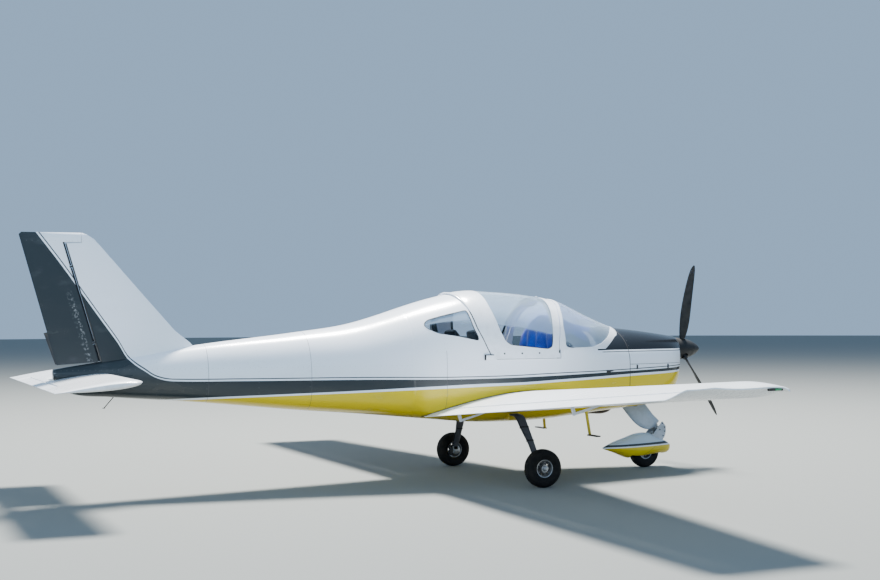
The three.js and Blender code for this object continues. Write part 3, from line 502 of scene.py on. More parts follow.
def fill_weathering(tree, given):
    """Soft dirt, fine streaks along the airflow and a slight ripple."""
    place = given["Place"]
    cloud = noise(tree, place, 1.7, 4.0)
    streaks = noise(tree, place, 9.0, 3.0, stretch=(0.25, 1.4, 1.0))
    specks = noise(tree, place, 160.0, 2.0)
    dirt = times(tree, ramp(tree, cloud, 0.42, 0.72), ramp(tree, streaks, 0.42, 0.7))
    dirt = calc(tree, "ADD", dirt, times(tree, ramp(tree, specks, 0.62, 0.75), 0.25), clamp=True)
    return {
        "Dirt": times(tree, dirt, given["Amount"], clamp=True),
        "Ripple": noise(tree, place, 5.0, 2.0),
    }


def fill_rivets(tree, given):
    """Round heads at a pitch along a row, from the distance across the row."""
    along = calc(tree, "PINGPONG", given["Along"], times(tree, given["Pitch"], 0.5))
    far = calc(tree, "SQRT", calc(
        tree, "ADD", calc(tree, "POWER", along, 2.0), calc(tree, "POWER", given["Across"], 2.0),
    ))
    return {"Heads": ramp(tree, far, times(tree, given["Size"], 1.25), given["Size"])}


def fill_seam(tree, given):
    """A thin line where the distance is nothing."""
    far = calc(tree, "ABSOLUTE", given["Distance"])
    return {"Line": ramp(tree, far, given["Width"], times(tree, given["Width"], 0.4))}


WEATHERING = group_of(
    "weathering", [("Place", VECTOR, None), ("Amount", VALUE, 0.5)],
    [("Dirt", VALUE), ("Ripple", VALUE)], fill_weathering,
)
RIVETS = group_of(
    "rivet row",
    [("Along", VALUE, 0.0), ("Across", VALUE, 0.0), ("Pitch", VALUE, 0.04), ("Size", VALUE, 0.003)],
    [("Heads", VALUE)], fill_rivets,
)
SEAM = group_of(
    "panel seam", [("Distance", VALUE, 0.0), ("Width", VALUE, 0.002)], [("Line", VALUE)], fill_seam,
)

# Paint lines in side view, in metres forward from the main axle and up
PIN_LINE = [
    (-4.30, 2.43), (-4.120, 2.19), (-3.946, 1.957), (-3.787, 1.729), (-3.625, 1.498), (-3.503, 1.325),
    (-3.400, 1.163), (-3.30, 1.083), (-3.18, 1.011), (-3.08, 0.991), (-2.52, 0.983), (-1.49, 0.977),
    (-0.604, 0.966), (-0.117, 0.968), (0.293, 0.979), (0.952, 0.993), (1.445, 1.007), (2.1, 1.03),
]
DARK_TOP = [
    (-4.30, 2.39), (-4.120, 2.150), (-3.946, 1.917), (-3.787, 1.690), (-3.625, 1.460), (-3.503, 1.288),
    (-3.400, 1.131), (-3.30, 1.056), (-3.18, 0.989), (-3.08, 0.969), (-2.52, 0.960), (-1.49, 0.953),
    (-0.604, 0.943), (-0.117, 0.945), (0.293, 0.953), (0.952, 0.972), (1.445, 0.985), (2.1, 1.01),
]
DARK_LOW = [
    (-4.30, 0.79), (-3.42, 0.802), (-2.81, 0.824), (-2.18, 0.839), (-1.49, 0.858), (-0.88, 0.881),
    (-0.41, 0.896), (0.0, 0.901), (0.4, 0.917), (0.83, 0.935), (1.32, 0.954), (1.7, 0.965), (2.1, 0.98),
]
YELLOW_TOP = [
    (-4.30, 0.775), (-3.42, 0.787), (-2.81, 0.808), (-2.18, 0.824), (-1.49, 0.840), (-0.88, 0.858),
    (-0.41, 0.871), (0.0, 0.880), (0.4, 0.896), (0.83, 0.914), (1.32, 0.933), (1.7, 0.946), (2.1, 0.965),
]
HOOD_Z = 1.177
HORN_LINE_Z = 2.122
# The rudder's hinge line: its foot, and the direction square to it and forwards
HINGE_FOOT = (-3.662, 1.132)
HINGE_AHEAD = (0.9594, 0.282)


def fill_livery(tree, given):
    """Masks of the paint scheme, read in side view."""
    x, _, z = split(tree, given["Place"])
    low, high = -4.30, 2.10
    pin, dark_top, dark_low, yellow_top = (
        curve_of(tree, x, low, high, points) for points in (PIN_LINE, DARK_TOP, DARK_LOW, YELLOW_TOP)
    )
    edge = 0.0012

    def under(line):
        return ramp(tree, minus(tree, line, z), -edge, edge)

    pin_width = ramp(tree, x, -3.35, -3.05, 0.015, 0.0085)
    pin_low = minus(tree, pin, pin_width)
    pin_mask = minus(tree, under(pin), under(pin_low), clamp=True)
    band = minus(tree, under(dark_top), under(dark_low), clamp=True)
    forward = ramp(tree, x, 0.822, 0.826)
    hood = times(tree, ramp(tree, z, HOOD_Z - edge, HOOD_Z + edge), forward)
    hood_pin = times(tree, placed(
        tree, SEAM, Distance=minus(tree, z, HOOD_Z - 0.016), Width=0.0055,
    )["Line"], ramp(tree, x, 0.86, 0.9))
    return {
        "Dark": most(tree, pin_mask, hood_pin, band),
        "Yellow": under(yellow_top),
        "Hood": hood,
        "Tail": ramp(tree, x, -3.1, -3.5),
    }


LIVERY = group_of(
    "livery", [("Place", VECTOR, None)],
    [("Dark", VALUE), ("Yellow", VALUE), ("Hood", VALUE), ("Tail", VALUE)], fill_livery,
)

WHITE = (0.80, 0.84, 0.90, 1)
DARK_GREY = (0.020, 0.027, 0.031, 1)
YELLOW = (0.66, 0.48, 0.0, 1)
BLACK = (0.005, 0.006, 0.008, 1)
DIRT = (0.16, 0.13, 0.09, 1)
WORN_GREY = (0.060, 0.068, 0.075, 1)
# painted shade for the gap at the rudder's hinge line
PAINTED_GAP_SHADE = (0.012, 0.013, 0.015, 1)
SCUFF_GREY = (0.5, 0.5, 0.5, 1)
RIVET_GREY = (0.2, 0.2, 0.21, 1)
SEAM_GREY = (0.05, 0.05, 0.055, 1)


def new_finish(name, **values):
    """A material, its node tree and its shader, with plain values set on the shader's own sockets."""
    finish = bpy.data.materials.new(name)
    finish.use_nodes = True
    tree = finish.node_tree
    shader = tree.nodes["Principled BSDF"]
    for socket, value in values.items():
        shader.inputs[socket.replace("_", " ")].default_value = value
    return finish, tree, shader


def object_place(tree, forward=AXLE_X):
    """Object coordinates, with X counted from the main axle."""
    place = add(tree, "ShaderNodeTexCoord").outputs["Object"]
    return add(tree, "ShaderNodeVectorMath", {0: place, 1: (-forward, 0, 0)}, operation="ADD").outputs[0]


def dressed(tree, shader, colour, roughness, height, strength=0.25, distance=0.0012):
    """Links a finish's colour, roughness and fine relief to its shader."""
    relief = add(tree, "ShaderNodeBump", {"Height": height, "Strength": strength, "Distance": distance})
    for value, socket in ((colour, "Base Color"), (roughness, "Roughness"), (relief.outputs[0], "Normal")):
        if value is not None:
            tree.links.new(value, shader.inputs[socket])


def lines_at(tree, value, places, width):
    """The strongest of several seams."""
    return most(tree, *(
        placed(tree, SEAM, Distance=minus(tree, value, at), Width=width)["Line"] for at in places
    ))


def rivet_lines(tree, value, places, along, pitch, size):
    return most(tree, *(placed(
        tree, RIVETS, Along=along, Across=minus(tree, value, at), Pitch=pitch, Size=size,
    )["Heads"] for at in places))


def hinge_shade_and_scuff(tree, place, x, z, colour):
    """Painted shade in the gap before the rudder's hinge line, and the scuffed streak behind it."""
    foot = -HINGE_FOOT[0] * HINGE_AHEAD[0] - HINGE_FOOT[1] * HINGE_AHEAD[1]
    ahead = calc(tree, "MULTIPLY_ADD", z, HINGE_AHEAD[1], foot)
    ahead = calc(tree, "MULTIPLY_ADD", x, HINGE_AHEAD[0], ahead)
    below = ramp(tree, z, HORN_LINE_Z + 0.001, HORN_LINE_Z - 0.001)
    # painted shade: the gap between fin and rudder is darkened in the colour, below the horn
    gap = times(tree, ramp(tree, ahead, 0.004, 0.008), ramp(tree, ahead, 0.0325, 0.0315))
    colour = shaded(tree, times(tree, gap, below), colour, PAINTED_GAP_SHADE)
    streak = times(tree, ramp(tree, ahead, -0.10, -0.06), ramp(tree, ahead, -0.03, -0.045))
    scuff = times(tree, streak, ramp(tree, noise(tree, place, 60.0, 4.0), 0.5, 0.7))
    return shaded(tree, times(tree, scuff, ramp(tree, z, 1.75, 1.6, 0.0, 0.35)), colour, SCUFF_GREY)


def painted(name, seams_x=(), rivets_x=(), rivets_z=(), dirt=0.5, worn=0.5, hinged=False, seam_top=9.0):
    """Sprayed skin in the aircraft's scheme, with seams and rivets at the places given."""
    finish, tree, shader = new_finish(name, Coat_Weight=0.12, Coat_Roughness=0.08, Specular_IOR_Level=0.4)
    place = object_place(tree)
    x, _, z = split(tree, place)
    masks = placed(tree, LIVERY, Place=place)
    weather = placed(tree, WEATHERING, Place=place, Amount=dirt)
    mottle = noise(tree, place, 5.0, 4.0, stretch=(1.0, 1.0, 2.2))
    tail_wear = times(tree, ramp(tree, mottle, 0.56, 0.85), masks["Tail"])
    grey = shaded(tree, times(tree, tail_wear, worn), DARK_GREY, WORN_GREY)
    colour = shaded(tree, masks["Yellow"], WHITE, YELLOW)
    colour = shaded(tree, masks["Dark"], colour, grey)
    colour = shaded(tree, masks["Hood"], colour, BLACK)
    low_dirt = times(tree, weather["Dirt"], ramp(tree, z, 1.15, 0.6, 0.10, 0.55))
    colour = shaded(tree, low_dirt, colour, DIRT)
    if hinged:
        colour = hinge_shade_and_scuff(tree, place, x, z, colour)
    rows = [
        rivet_lines(tree, value, places, along, 0.045, 0.0028)
        for value, places, along in ((x, rivets_x, z), (z, rivets_z, x)) if places
    ]
    height = times(tree, weather["Ripple"], 0.35)
    if rows:
        heads = most(tree, *rows)
        colour = shaded(tree, times(tree, heads, 0.28), colour, RIVET_GREY)
        height = calc(tree, "ADD", height, times(tree, heads, 0.5))
    if seams_x:
        below = ramp(tree, z, seam_top, seam_top - 0.01)
        cuts = times(tree, lines_at(tree, x, seams_x, 0.0026), below)
        colour = shaded(tree, times(tree, cuts, 0.8), colour, SEAM_GREY)
        height = minus(tree, height, cuts)
    dressed(tree, shader, colour, ramp(tree, weather["Dirt"], 0.0, 1.0, 0.24, 0.5), height)
    return finish


def wing_paint():
    """White wing skin: rib and spar rivets, the nose skin's seam, dust, and stains along the leading edge."""
    finish, tree, shader = new_finish("wing_paint", Coat_Weight=0.15, Coat_Roughness=0.1)
    place = object_place(tree)
    x, y, _ = split(tree, place)
    out = calc(tree, "ABSOLUTE", y)
    # how far out along the panel, and lines that run with its taper
    share = calc(tree, "DIVIDE", minus(tree, out, 0.42), 3.71)
    lead, spar_x, nose_x = (
        calc(tree, "MULTIPLY_ADD", share, slope, start) for slope, start in (
            (-0.498, 0.498), (-0.36, 0.10), (-0.45, 0.40),
        )
    )
    spar, nose, rear = (minus(tree, x, line) for line in (spar_x, nose_x, -0.63))
    rib = minus(tree, calc(tree, "PINGPONG", calc(tree, "ADD", out, 0.06), 0.17), 0.085)
    weather = placed(tree, WEATHERING, Place=place, Amount=0.5)
    heads = most(
        tree, placed(tree, RIVETS, Along=x, Across=rib, Pitch=0.045, Size=0.0027)["Heads"],
        *(rivet_lines(tree, across, (0.0,), out, 0.04, 0.0027) for across in (spar, nose, rear)),
    )
    cuts = most(tree, lines_at(tree, spar, (0.014,), 0.0022), lines_at(tree, out, (1.45, 2.75), 0.0022))
    colour = shaded(tree, times(tree, weather["Dirt"], 0.16), (0.87, 0.89, 0.91, 1), DIRT)
    nose_strip = ramp(tree, minus(tree, lead, x), 0.16, 0.0, 0.0, 0.4)
    bugs = times(tree, ramp(tree, noise(tree, place, 95.0, 2.0), 0.66, 0.72), nose_strip)
    colour = shaded(tree, bugs, colour, (0.12, 0.09, 0.05, 1))
    colour = shaded(tree, times(tree, heads, 0.3), colour, (0.25, 0.25, 0.26, 1))
    colour = shaded(tree, times(tree, cuts, 0.6), colour, (0.1, 0.1, 0.105, 1))
    height = calc(tree, "MULTIPLY_ADD", weather["Ripple"], 0.35, times(tree, heads, 0.5))
    roughness = ramp(tree, weather["Dirt"], 0.0, 1.0, 0.26, 0.5)
    dressed(tree, shader, colour, roughness, minus(tree, height, cuts))
    return finish


def plain_paint(name, colour, roughness=0.3, dirt=0.4, coat=0.25, metallic=0.0):
    """Sprayed or anodised metal in one colour, uneven and a little dirty."""
    finish, tree, shader = new_finish(name, Coat_Weight=coat, Coat_Roughness=0.1, Metallic=metallic)
    place = object_place(tree)
    weather = placed(tree, WEATHERING, Place=place, Amount=dirt)
    tint = noise(tree, place, 24.0, 4.0)
    tone = shaded(tree, ramp(tree, tint, 0.3, 0.75, 0.0, 0.5), colour, darker(colour, 0.72))
    tone = shaded(tree, times(tree, weather["Dirt"], 0.5), tone, DIRT)
    rough = ramp(tree, tint, 0.2, 0.8, roughness * 0.8, roughness * 1.35)
    dressed(tree, shader, tone, rough, noise(tree, place, 260.0, 2.0), 0.12, 0.0006)
    return finish


def darker(colour, share):
    return [c * share for c in colour[:3]] + [1]


def spat_paint():
    """White top painted blue-grey as painted shade, dark stripe, thin white line and yellow below, in side
    view.
    """
    finish, tree, shader = new_finish("spat_paint", Coat_Weight=0.12, Coat_Roughness=0.1)
    place = object_place(tree)
    x, _, z = split(tree, place)
    weather = placed(tree, WEATHERING, Place=place, Amount=0.6)
    colour = YELLOW
    for (x0, z0), (x1, z1), over in (
        ((1.131, 0.198), (1.855, 0.222), WHITE), ((1.131, 0.210), (1.856, 0.234), DARK_GREY),
        # painted shade: the spat's white top is given a blue-grey colour
        ((1.131, 0.229), (1.844, 0.258), (0.42, 0.50, 0.58, 1)),
    ):
        slope = (z1 - z0) / (x1 - x0)
        line = calc(tree, "MULTIPLY_ADD", x, slope, z0 - x0 * slope)
        colour = shaded(tree, ramp(tree, minus(tree, z, line), -0.001, 0.001), colour, over)
    # the slanting joint in the lower half
    seam = minus(tree, z, calc(tree, "MULTIPLY_ADD", x, 0.734, 0.144 - 1.621 * 0.734))
    cut = times(tree, lines_at(tree, seam, (0.0,), 0.003), ramp(tree, z, 0.215, 0.21))
    colour = shaded(tree, times(tree, cut, 0.7), colour, (0.03, 0.03, 0.02, 1))
    colour = shaded(tree, times(tree, weather["Dirt"], 0.35), colour, DIRT)
    dressed(
        tree, shader, colour, ramp(tree, weather["Dirt"], 0.0, 1.0, 0.28, 0.5), weather["Ripple"], 0.2,
        0.001,
    )
    return finish


def brushed_metal(name, colour, roughness=0.34):
    finish, tree, shader = new_finish(name, Metallic=1.0)
    place = object_place(tree)
    grain = noise(tree, place, 90.0, 3.0, stretch=(1.0, 12.0, 12.0))
    stain = ramp(tree, noise(tree, place, 7.0, 4.0), 0.42, 0.7)
    tone = shaded(tree, times(tree, stain, 0.7), colour, darker(colour, 0.45))
    rough = ramp(tree, grain, 0.2, 0.8, roughness * 0.7, roughness * 1.4)
    dressed(tree, shader, tone, rough, grain, 0.15, 0.0004)
    return finish


def tyre_rubber():
    """Rubber with patches of dust and scuffs."""
    finish, tree, shader = new_finish("tyre_rubber", Specular_IOR_Level=0.2)
    place = object_place(tree)
    scuff = noise(tree, place, 42.0, 5.0)
    dust = ramp(tree, noise(tree, place, 9.0, 4.0), 0.4, 0.7)
    colour = shaded(tree, times(tree, dust, 0.5), (0.0045, 0.0045, 0.005, 1), (0.022, 0.019, 0.016, 1))
    colour = shaded(tree, ramp(tree, scuff, 0.5, 0.8, 0.0, 0.4), colour, (0.03, 0.028, 0.026, 1))
    rough = ramp(tree, scuff, 0.3, 0.7, 0.62, 0.9)
    dressed(tree, shader, colour, rough, noise(tree, place, 300.0, 3.0), 0.3, 0.0006)
    return finish


def window_glass(name, clear, full, sheen=(0.60, 0.74, 0.88, 1)):
    """Blown acrylic: clear face on, pale at a slant with a painted reflection of the sky, with fine
    scratches.
    """
    finish, tree, shader = new_finish(name, Roughness=0.04, Coat_Weight=1.0, Coat_Roughness=0.02, IOR=1.49)
    place = object_place(tree)
    slant = add(tree, "ShaderNodeLayerWeight", {"Blend": 0.42}).outputs["Fresnel"]
    haze = ramp(tree, noise(tree, place, 6.0, 5.0), 0.45, 0.8, 0.0, 0.03)
    scratches = ramp(tree, noise(tree, place, 55.0, 2.0, stretch=(0.15, 1.0, 3.0)), 0.68, 0.76, 0.0, 0.03)
    marks = calc(tree, "ADD", haze, scratches)
    cover = calc(tree, "ADD", ramp(tree, slant, 0.08, 0.85, clear, full), marks, clamp=True)
    tree.links.new(cover, shader.inputs["Alpha"])
    # painted reflection: the colour turns from the dark tint to the pale sky tint at a slant
    tone = shaded(tree, ramp(tree, slant, 0.10, 0.45), (0.10, 0.17, 0.22, 1), sheen)
    tree.links.new(tone, shader.inputs["Base Color"])
    return finish


def fill_weave(tree, given):
    """Over and under of a plain weave."""
    scaled = {0: given["Place"], 3: given["Scale"]}
    x, y, z = split(tree, add(tree, "ShaderNodeVectorMath", scaled, operation="SCALE").outputs[0])
    warp = calc(tree, "SINE", calc(tree, "ADD", x, z))
    weft = calc(tree, "SINE", calc(tree, "ADD", y, z))
    return {"Threads": calc(tree, "MULTIPLY_ADD", times(tree, warp, weft), 0.5, 0.5)}


WEAVE = group_of(
    "weave", [("Place", VECTOR, None), ("Scale", VALUE, 1500.0)], [("Threads", VALUE)], fill_weave,
)


def cloth(name, colour, light, sheen=0.3, roughness=0.85, scale=1500.0):
    finish, tree, shader = new_finish(name, Sheen_Weight=sheen, Sheen_Roughness=0.4)
    place = object_place(tree)
    threads = placed(tree, WEAVE, Place=place, Scale=scale)["Threads"]
    fade = ramp(tree, noise(tree, place, 11.0, 4.0), 0.35, 0.75)
    tone = shaded(tree, times(tree, fade, 0.6), colour, light)
    tone = shaded(tree, times(tree, threads, 0.25), tone, light)
    rough = ramp(tree, threads, 0.0, 1.0, roughness, roughness * 0.85)
    dressed(tree, shader, tone, rough, threads, 0.2, 0.0005)
    return finish


def lens(name, colour):
    finish, tree, shader = new_finish(name, Roughness=0.12, Coat_Weight=0.8, Coat_Roughness=0.03)
    ribs = calc(tree, "SINE", times(tree, split(tree, object_place(tree))[2], 900.0))
    tone = shaded(tree, calc(tree, "MULTIPLY_ADD", ribs, 0.5, 0.5), colour, darker(colour, 0.5))
    dressed(tree, shader, tone, None, ribs, 0.25, 0.0008)
    return finish


# The finishes in use
SKIN_PAINT = painted(
    "fuselage_paint", seam_top=1.20, seams_x=(-0.722,), rivets_x=(-0.735, -0.71, 0.79),
)
TAIL_PAINT = painted(
    "tail_paint", seams_x=(-1.91, -2.78), rivets_x=(-1.925, -2.36, -2.795, -3.2),
    rivets_z=(1.07,), dirt=0.6,
)
COWL_PAINT = painted("cowl_paint", rivets_x=(1.225,), dirt=0.6)
TRIM_WHITE = plain_paint("canopy_white", WHITE, 0.26, dirt=0.3, coat=0.35)
WING_PAINT = wing_paint()
TAIL_WHITE = plain_paint("tailplane_white", (0.80, 0.82, 0.85, 1), 0.3, dirt=0.6, coat=0.3)
STEP_YELLOW = plain_paint("step_yellow", YELLOW, 0.4, dirt=0.8)
LEG_GREY = plain_paint("leg_grey", (0.060, 0.064, 0.080, 1), 0.5, dirt=0.6, coat=0.0)
# painted shade: the nose leg's white fairing is given a blue-grey colour
FAIRING_PAINTED_SHADE = plain_paint("fairing_white_painted_shade", (0.36, 0.42, 0.50, 1), 0.3, dirt=0.7, coat=0.2)
FORK_METAL = plain_paint("fork_plate", (0.40, 0.44, 0.50, 1), 0.4, dirt=0.7, coat=0.1)
RIM_METAL = brushed_metal("rim_alloy", (0.62, 0.63, 0.65, 1), 0.36)
STEEL = brushed_metal("bare_steel", (0.42, 0.43, 0.45, 1), 0.34)
DARK_METAL = plain_paint("dark_metal", (0.028, 0.029, 0.032, 1), 0.45, dirt=0.6, coat=0.0, metallic=0.3)
EXHAUST = brushed_metal("exhaust_steel", (0.16, 0.13, 0.11, 1), 0.5)
BLACK_RUBBER = plain_paint("black_rubber", (0.008, 0.008, 0.009, 1), 0.62, dirt=0.3, coat=0.0)
TYRE = tyre_rubber()
# Both glasses carry a painted sky reflection at a slant; the windscreen's is paler and it is less clear face
# on
GLASS = window_glass("clear_glass", 0.015, 0.62)
SCREEN_GLASS = window_glass("screen_glass", 0.10, 0.75, (0.66, 0.78, 0.90, 1))
LINING = cloth("lining_cloth", (0.030, 0.033, 0.037, 1), (0.070, 0.074, 0.08, 1), scale=900.0)
CARPET = cloth("floor_carpet", (0.022, 0.023, 0.025, 1), (0.05, 0.05, 0.052, 1), scale=700.0)
SEAT_CLOTH = cloth("seat_cloth", (0.020, 0.022, 0.028, 1), (0.062, 0.066, 0.078, 1))
BLUE_CLOTH = cloth("blue_cover", (0.002, 0.03, 0.36, 1), (0.01, 0.12, 0.85, 1), sheen=0.2, roughness=0.55)
BELT_WEB = cloth("belt_web", (0.05, 0.052, 0.055, 1), (0.12, 0.12, 0.125, 1), scale=2400.0)
PANEL_BLACK = plain_paint("panel_black", (0.018, 0.018, 0.02, 1), 0.55, dirt=0.2, coat=0.0)
GREEN_LENS = lens("green_lens", (0.02, 0.30, 0.10, 1))
RED_LENS = lens("red_lens", (0.45, 0.015, 0.012, 1))
GAUGE_FACE = plain_paint("gauge_face", (0.008, 0.008, 0.009, 1), 0.3, dirt=0.1, coat=0.5)
SCREEN_FACE = plain_paint("screen_face", (0.006, 0.008, 0.012, 1), 0.12, dirt=0.1, coat=0.8)
FIN_PAINT = painted("fin_paint", rivets_z=(2.131,), dirt=0.6, hinged=True)
TIP_WHITE = plain_paint("wing_tip_white", (0.82, 0.84, 0.86, 1), 0.27, dirt=0.5, coat=0.35)
IRON = plain_paint("engine_iron", (0.06, 0.062, 0.066, 1), 0.5, dirt=0.9, coat=0.0, metallic=0.6)
FIREWALL_METAL = brushed_metal("firewall_sheet", (0.52, 0.53, 0.55, 1), 0.3)
BLADE_PAINT = plain_paint("blade_black", (0.004, 0.0045, 0.005, 1), 0.6, dirt=0.2, coat=0.0)
SPINNER_BLACK = plain_paint("spinner_black", (0.003, 0.0033, 0.0038, 1), 0.5, dirt=0.1, coat=0.0)
SPAT_PAINT = spat_paint()


# Fuselage
def cockpit_outline(shift, low):
    rear = [(x + shift, max(z, low)) for x, z in reversed(CANOPY_REAR)]
    return [
        (CANOPY_REAR[0][0] + shift, low), (414, low), (414, SCREEN_SILL_Z), (HOOP_X + 200, SCREEN_SILL_Z),
        (HOOP_X + 200, 1900), (CANOPY_REAR[-1][0] + shift, 1900), *rear[:-1],
    ]


def cabin():
    skin = body_shell("cabin_skin", HULL, CONE_X, HOOP_X, 0, WALL)
    carved(
        skin, through(cockpit_outline(35, SILL_Z)),
        through(REAR_WINDOW_EDGE),
    )
    finished(skin, "airframe", SKIN_PAINT, ["cabin_shell"])
    scuttle = body_shell("scuttle_skin", DECK, HOOP_X, FIREWALL_X, 0, WALL)
    carved(scuttle, slab("cut", HOOP_X - 10, PANEL_X, SCREEN_SILL_Z, FAR))
    finished(scuttle, "airframe", SKIN_PAINT)
    lining = body_shell("cabin_lining", HULL, CONE_X + 16, HOOP_X, -WALL - 1, 3, step=40)
    carved(
        lining, through(grown(cockpit_outline(35, SILL_Z), 6)),
        through(grown(REAR_WINDOW_EDGE, 8)),
    )
    front = body_shell("front_lining", DECK, HOOP_X, FIREWALL_X - 30, -WALL - 1, 3, step=40)
    carved(front, slab("cut", HOOP_X - 10, PANEL_X, SCREEN_SILL_Z, FAR))
    finished(merged("cabin_lining", lining, front), "airframe", LINING)


def bulkhead_and_floor():
    plate = carved(
        slab("rear_bulkhead", CONE_X + 18, CONE_X + 24, 500, 1700),
        body_solid("cut", HULL, CONE_X, CONE_X + 60, -WALL - 5), how="INTERSECT",
    )
    finished(plate, "airframe", LINING)
    floor = carved(
        slab("cabin_floor", CONE_X + 25, FIREWALL_X - 32, 612, 622),
        body_solid("cut", HULL, CONE_X, HOOP_X + 20, -WALL - 5), how="INTERSECT",
    )
    finished(floor, "airframe", CARPET)
    tunnel = bevelled(brick("centre_tunnel", (-150, -62, 622), (1100, 62, 742)), 14, 3)
    finished(tunnel, "airframe", LINING)


def window_seals():
    """Rubber around each rear window, standing a little proud of the skin."""
    ring = carved(
        through(grown(REAR_WINDOW_EDGE, 1)),
        through(grown(REAR_WINDOW_EDGE, -3), 2 * FAR),
    )
    band = carved(body_shell("rear_window_seals", HULL, -990, -360, 1.4, 8), ring, how="INTERSECT")
    finished(band, "airframe", BLACK_RUBBER)


def rear_windows():
    pane = body_shell("rear_window_panes", HULL, -990, -360, -4, 4)
    carved(pane, through(grown(REAR_WINDOW_EDGE, -2)), how="INTERSECT")
    finished(pane, "airframe", GLASS, ["rear_window_left", "rear_window_right"])


def tail_cone():
    skin = body_solid("tail_cone_skin", HULL, -4020, CONE_X - 0.3)
    bevelled(skin, 9, 3, 60)
    finished(skin, "airframe", TAIL_PAINT, ["tail_cone"])
    stay = rod("tail_stay", (-3518, 0, 858), (-3609, 0, 753), 4, sides=16)
    foot = brick("tail_stay", (-3622, -7, 749), (-3600, 7, 755), 1.5)
    finished(merged("tail_skid_rod", stay, foot), "airframe", DARK_METAL)


def cowl():
    for name, low, high, node, slot in (
        ("cowl_top_skin", COWL_SPLIT_Z + 2, 2000, "cowl_upper", "black_paint"),
        ("cowl_bottom_skin", 0, COWL_SPLIT_Z - 2, "cowl_lower", "yellow_paint"),
    ):
        skin = body_shell(name, DECK, FIREWALL_X + 1.5, COWL_FRONT_X, 0, 6, step=18)
        carved(skin, slab("cut", 1000, 2200, low, high), how="INTERSECT")
        if node == "cowl_lower":
            carved(
                skin, brick("cut", (1700, -150, 700), (2100, 150, 860), 20, 4),
                brick("cut", (1100, -150, 500), (1320, 150, 640), 12, 3), leg_fairing("cut", 7),
            )
        finished(skin, "airframe", COWL_PAINT, [node])
    face = body_solid("cowl_nose_plate", DECK, COWL_FRONT_X - 8, COWL_FRONT_X, -1, 8)
    carved(face, rod("cut", (1900, 0, THRUST_Z), (2200, 0, THRUST_Z), 64, sides=48))
    finished(bevelled(face, 2), "airframe", COWL_PAINT)


def cowl_details():
    """Latches along the cowl's joint, the joint behind it, the chin radiator and the exhaust."""
    latches = []
    z = 1012
    for side in SIDES:
        for x in (1287, 1679):
            y = side_y(DECK, x, z)
            base = brick("latch", (x - 9, y - 5, z - 21), (x + 9, y + 4, z + 21), 2.5)
            lever = brick("latch", (x - 5, y + 3, z - 14), (x + 5, y + 7, z + 12), 1.8)
            latches += [sided(piece, side, "latch") for piece in (base, lever)]
    finished(merged("cowl_latches", *latches), "airframe", DARK_METAL)
    grille = [brick("bar", (1716, -148, z - 1.5), (1742, 148, z + 1.5)) for z in range(735, 858, 9)]
    grille += [brick("bar", (1716, y - 1.5, 722), (1745, y + 1.5, 858)) for y in range(-144, 145, 24)]
    core = brick("core", (1700, -148, 722), (1716, 148, 858), 3)
    finished(merged("chin_radiator", core, *grille), "airframe", DARK_METAL)
    joint = body_shell("cowl_joint", DECK, FIREWALL_X - 3, FIREWALL_X + 3.5, 0.5, 3, step=3)
    finished(joint, "airframe", BLACK_RUBBER)
    outer = pipe("tail_pipe", [(1420, 120, 690), (1350, 118, 606), (1296, 117, 566), (1080, 116, 556)], 18)
    finished(outer, "airframe", EXHAUST)
    muffler = rod("muffler", (1440, -190, 668), (1440, 190, 668), 52, sides=40, bevel=10)
    finished(muffler, "airframe", EXHAUST)


def side_inlets():
    """A small scooped inlet in each side behind the cowl."""
    x, z = 950, 984
    y = side_y(DECK, x, z) - 1.5
    for side, name in SIDES.items():
        scoop = prism("scoop", [(x - 44, z + 10), (x + 42, z + 2), (x - 36, z - 24)], y, y + 9)
        bevelled(scoop, 2.5)
        finished(sided(scoop, side, "scoop_" + name), "airframe", DARK_METAL)


# Canopy and windscreen
def canopy_side(low=SILL_Z + 6):
    rear = [(x, max(z, low)) for x, z in CANOPY_REAR]
    return [(CANOPY_SEAM[0][0] - 3, low)] + [(x - 3, z) for x, z in CANOPY_SEAM[1:]] + [
        (rear[-1][0], 1850), *reversed(rear),
    ]


def seam_x(z):
    """Where the canopy's rear edge is at a height."""
    pairs = zip(CANOPY_REAR, CANOPY_REAR[1:])
    low, high = next((pair for pair in pairs if z <= pair[1][1]), CANOPY_REAR[-2:])
    return low[0] + (high[0] - low[0]) * (z - low[1]) / (high[1] - low[1])


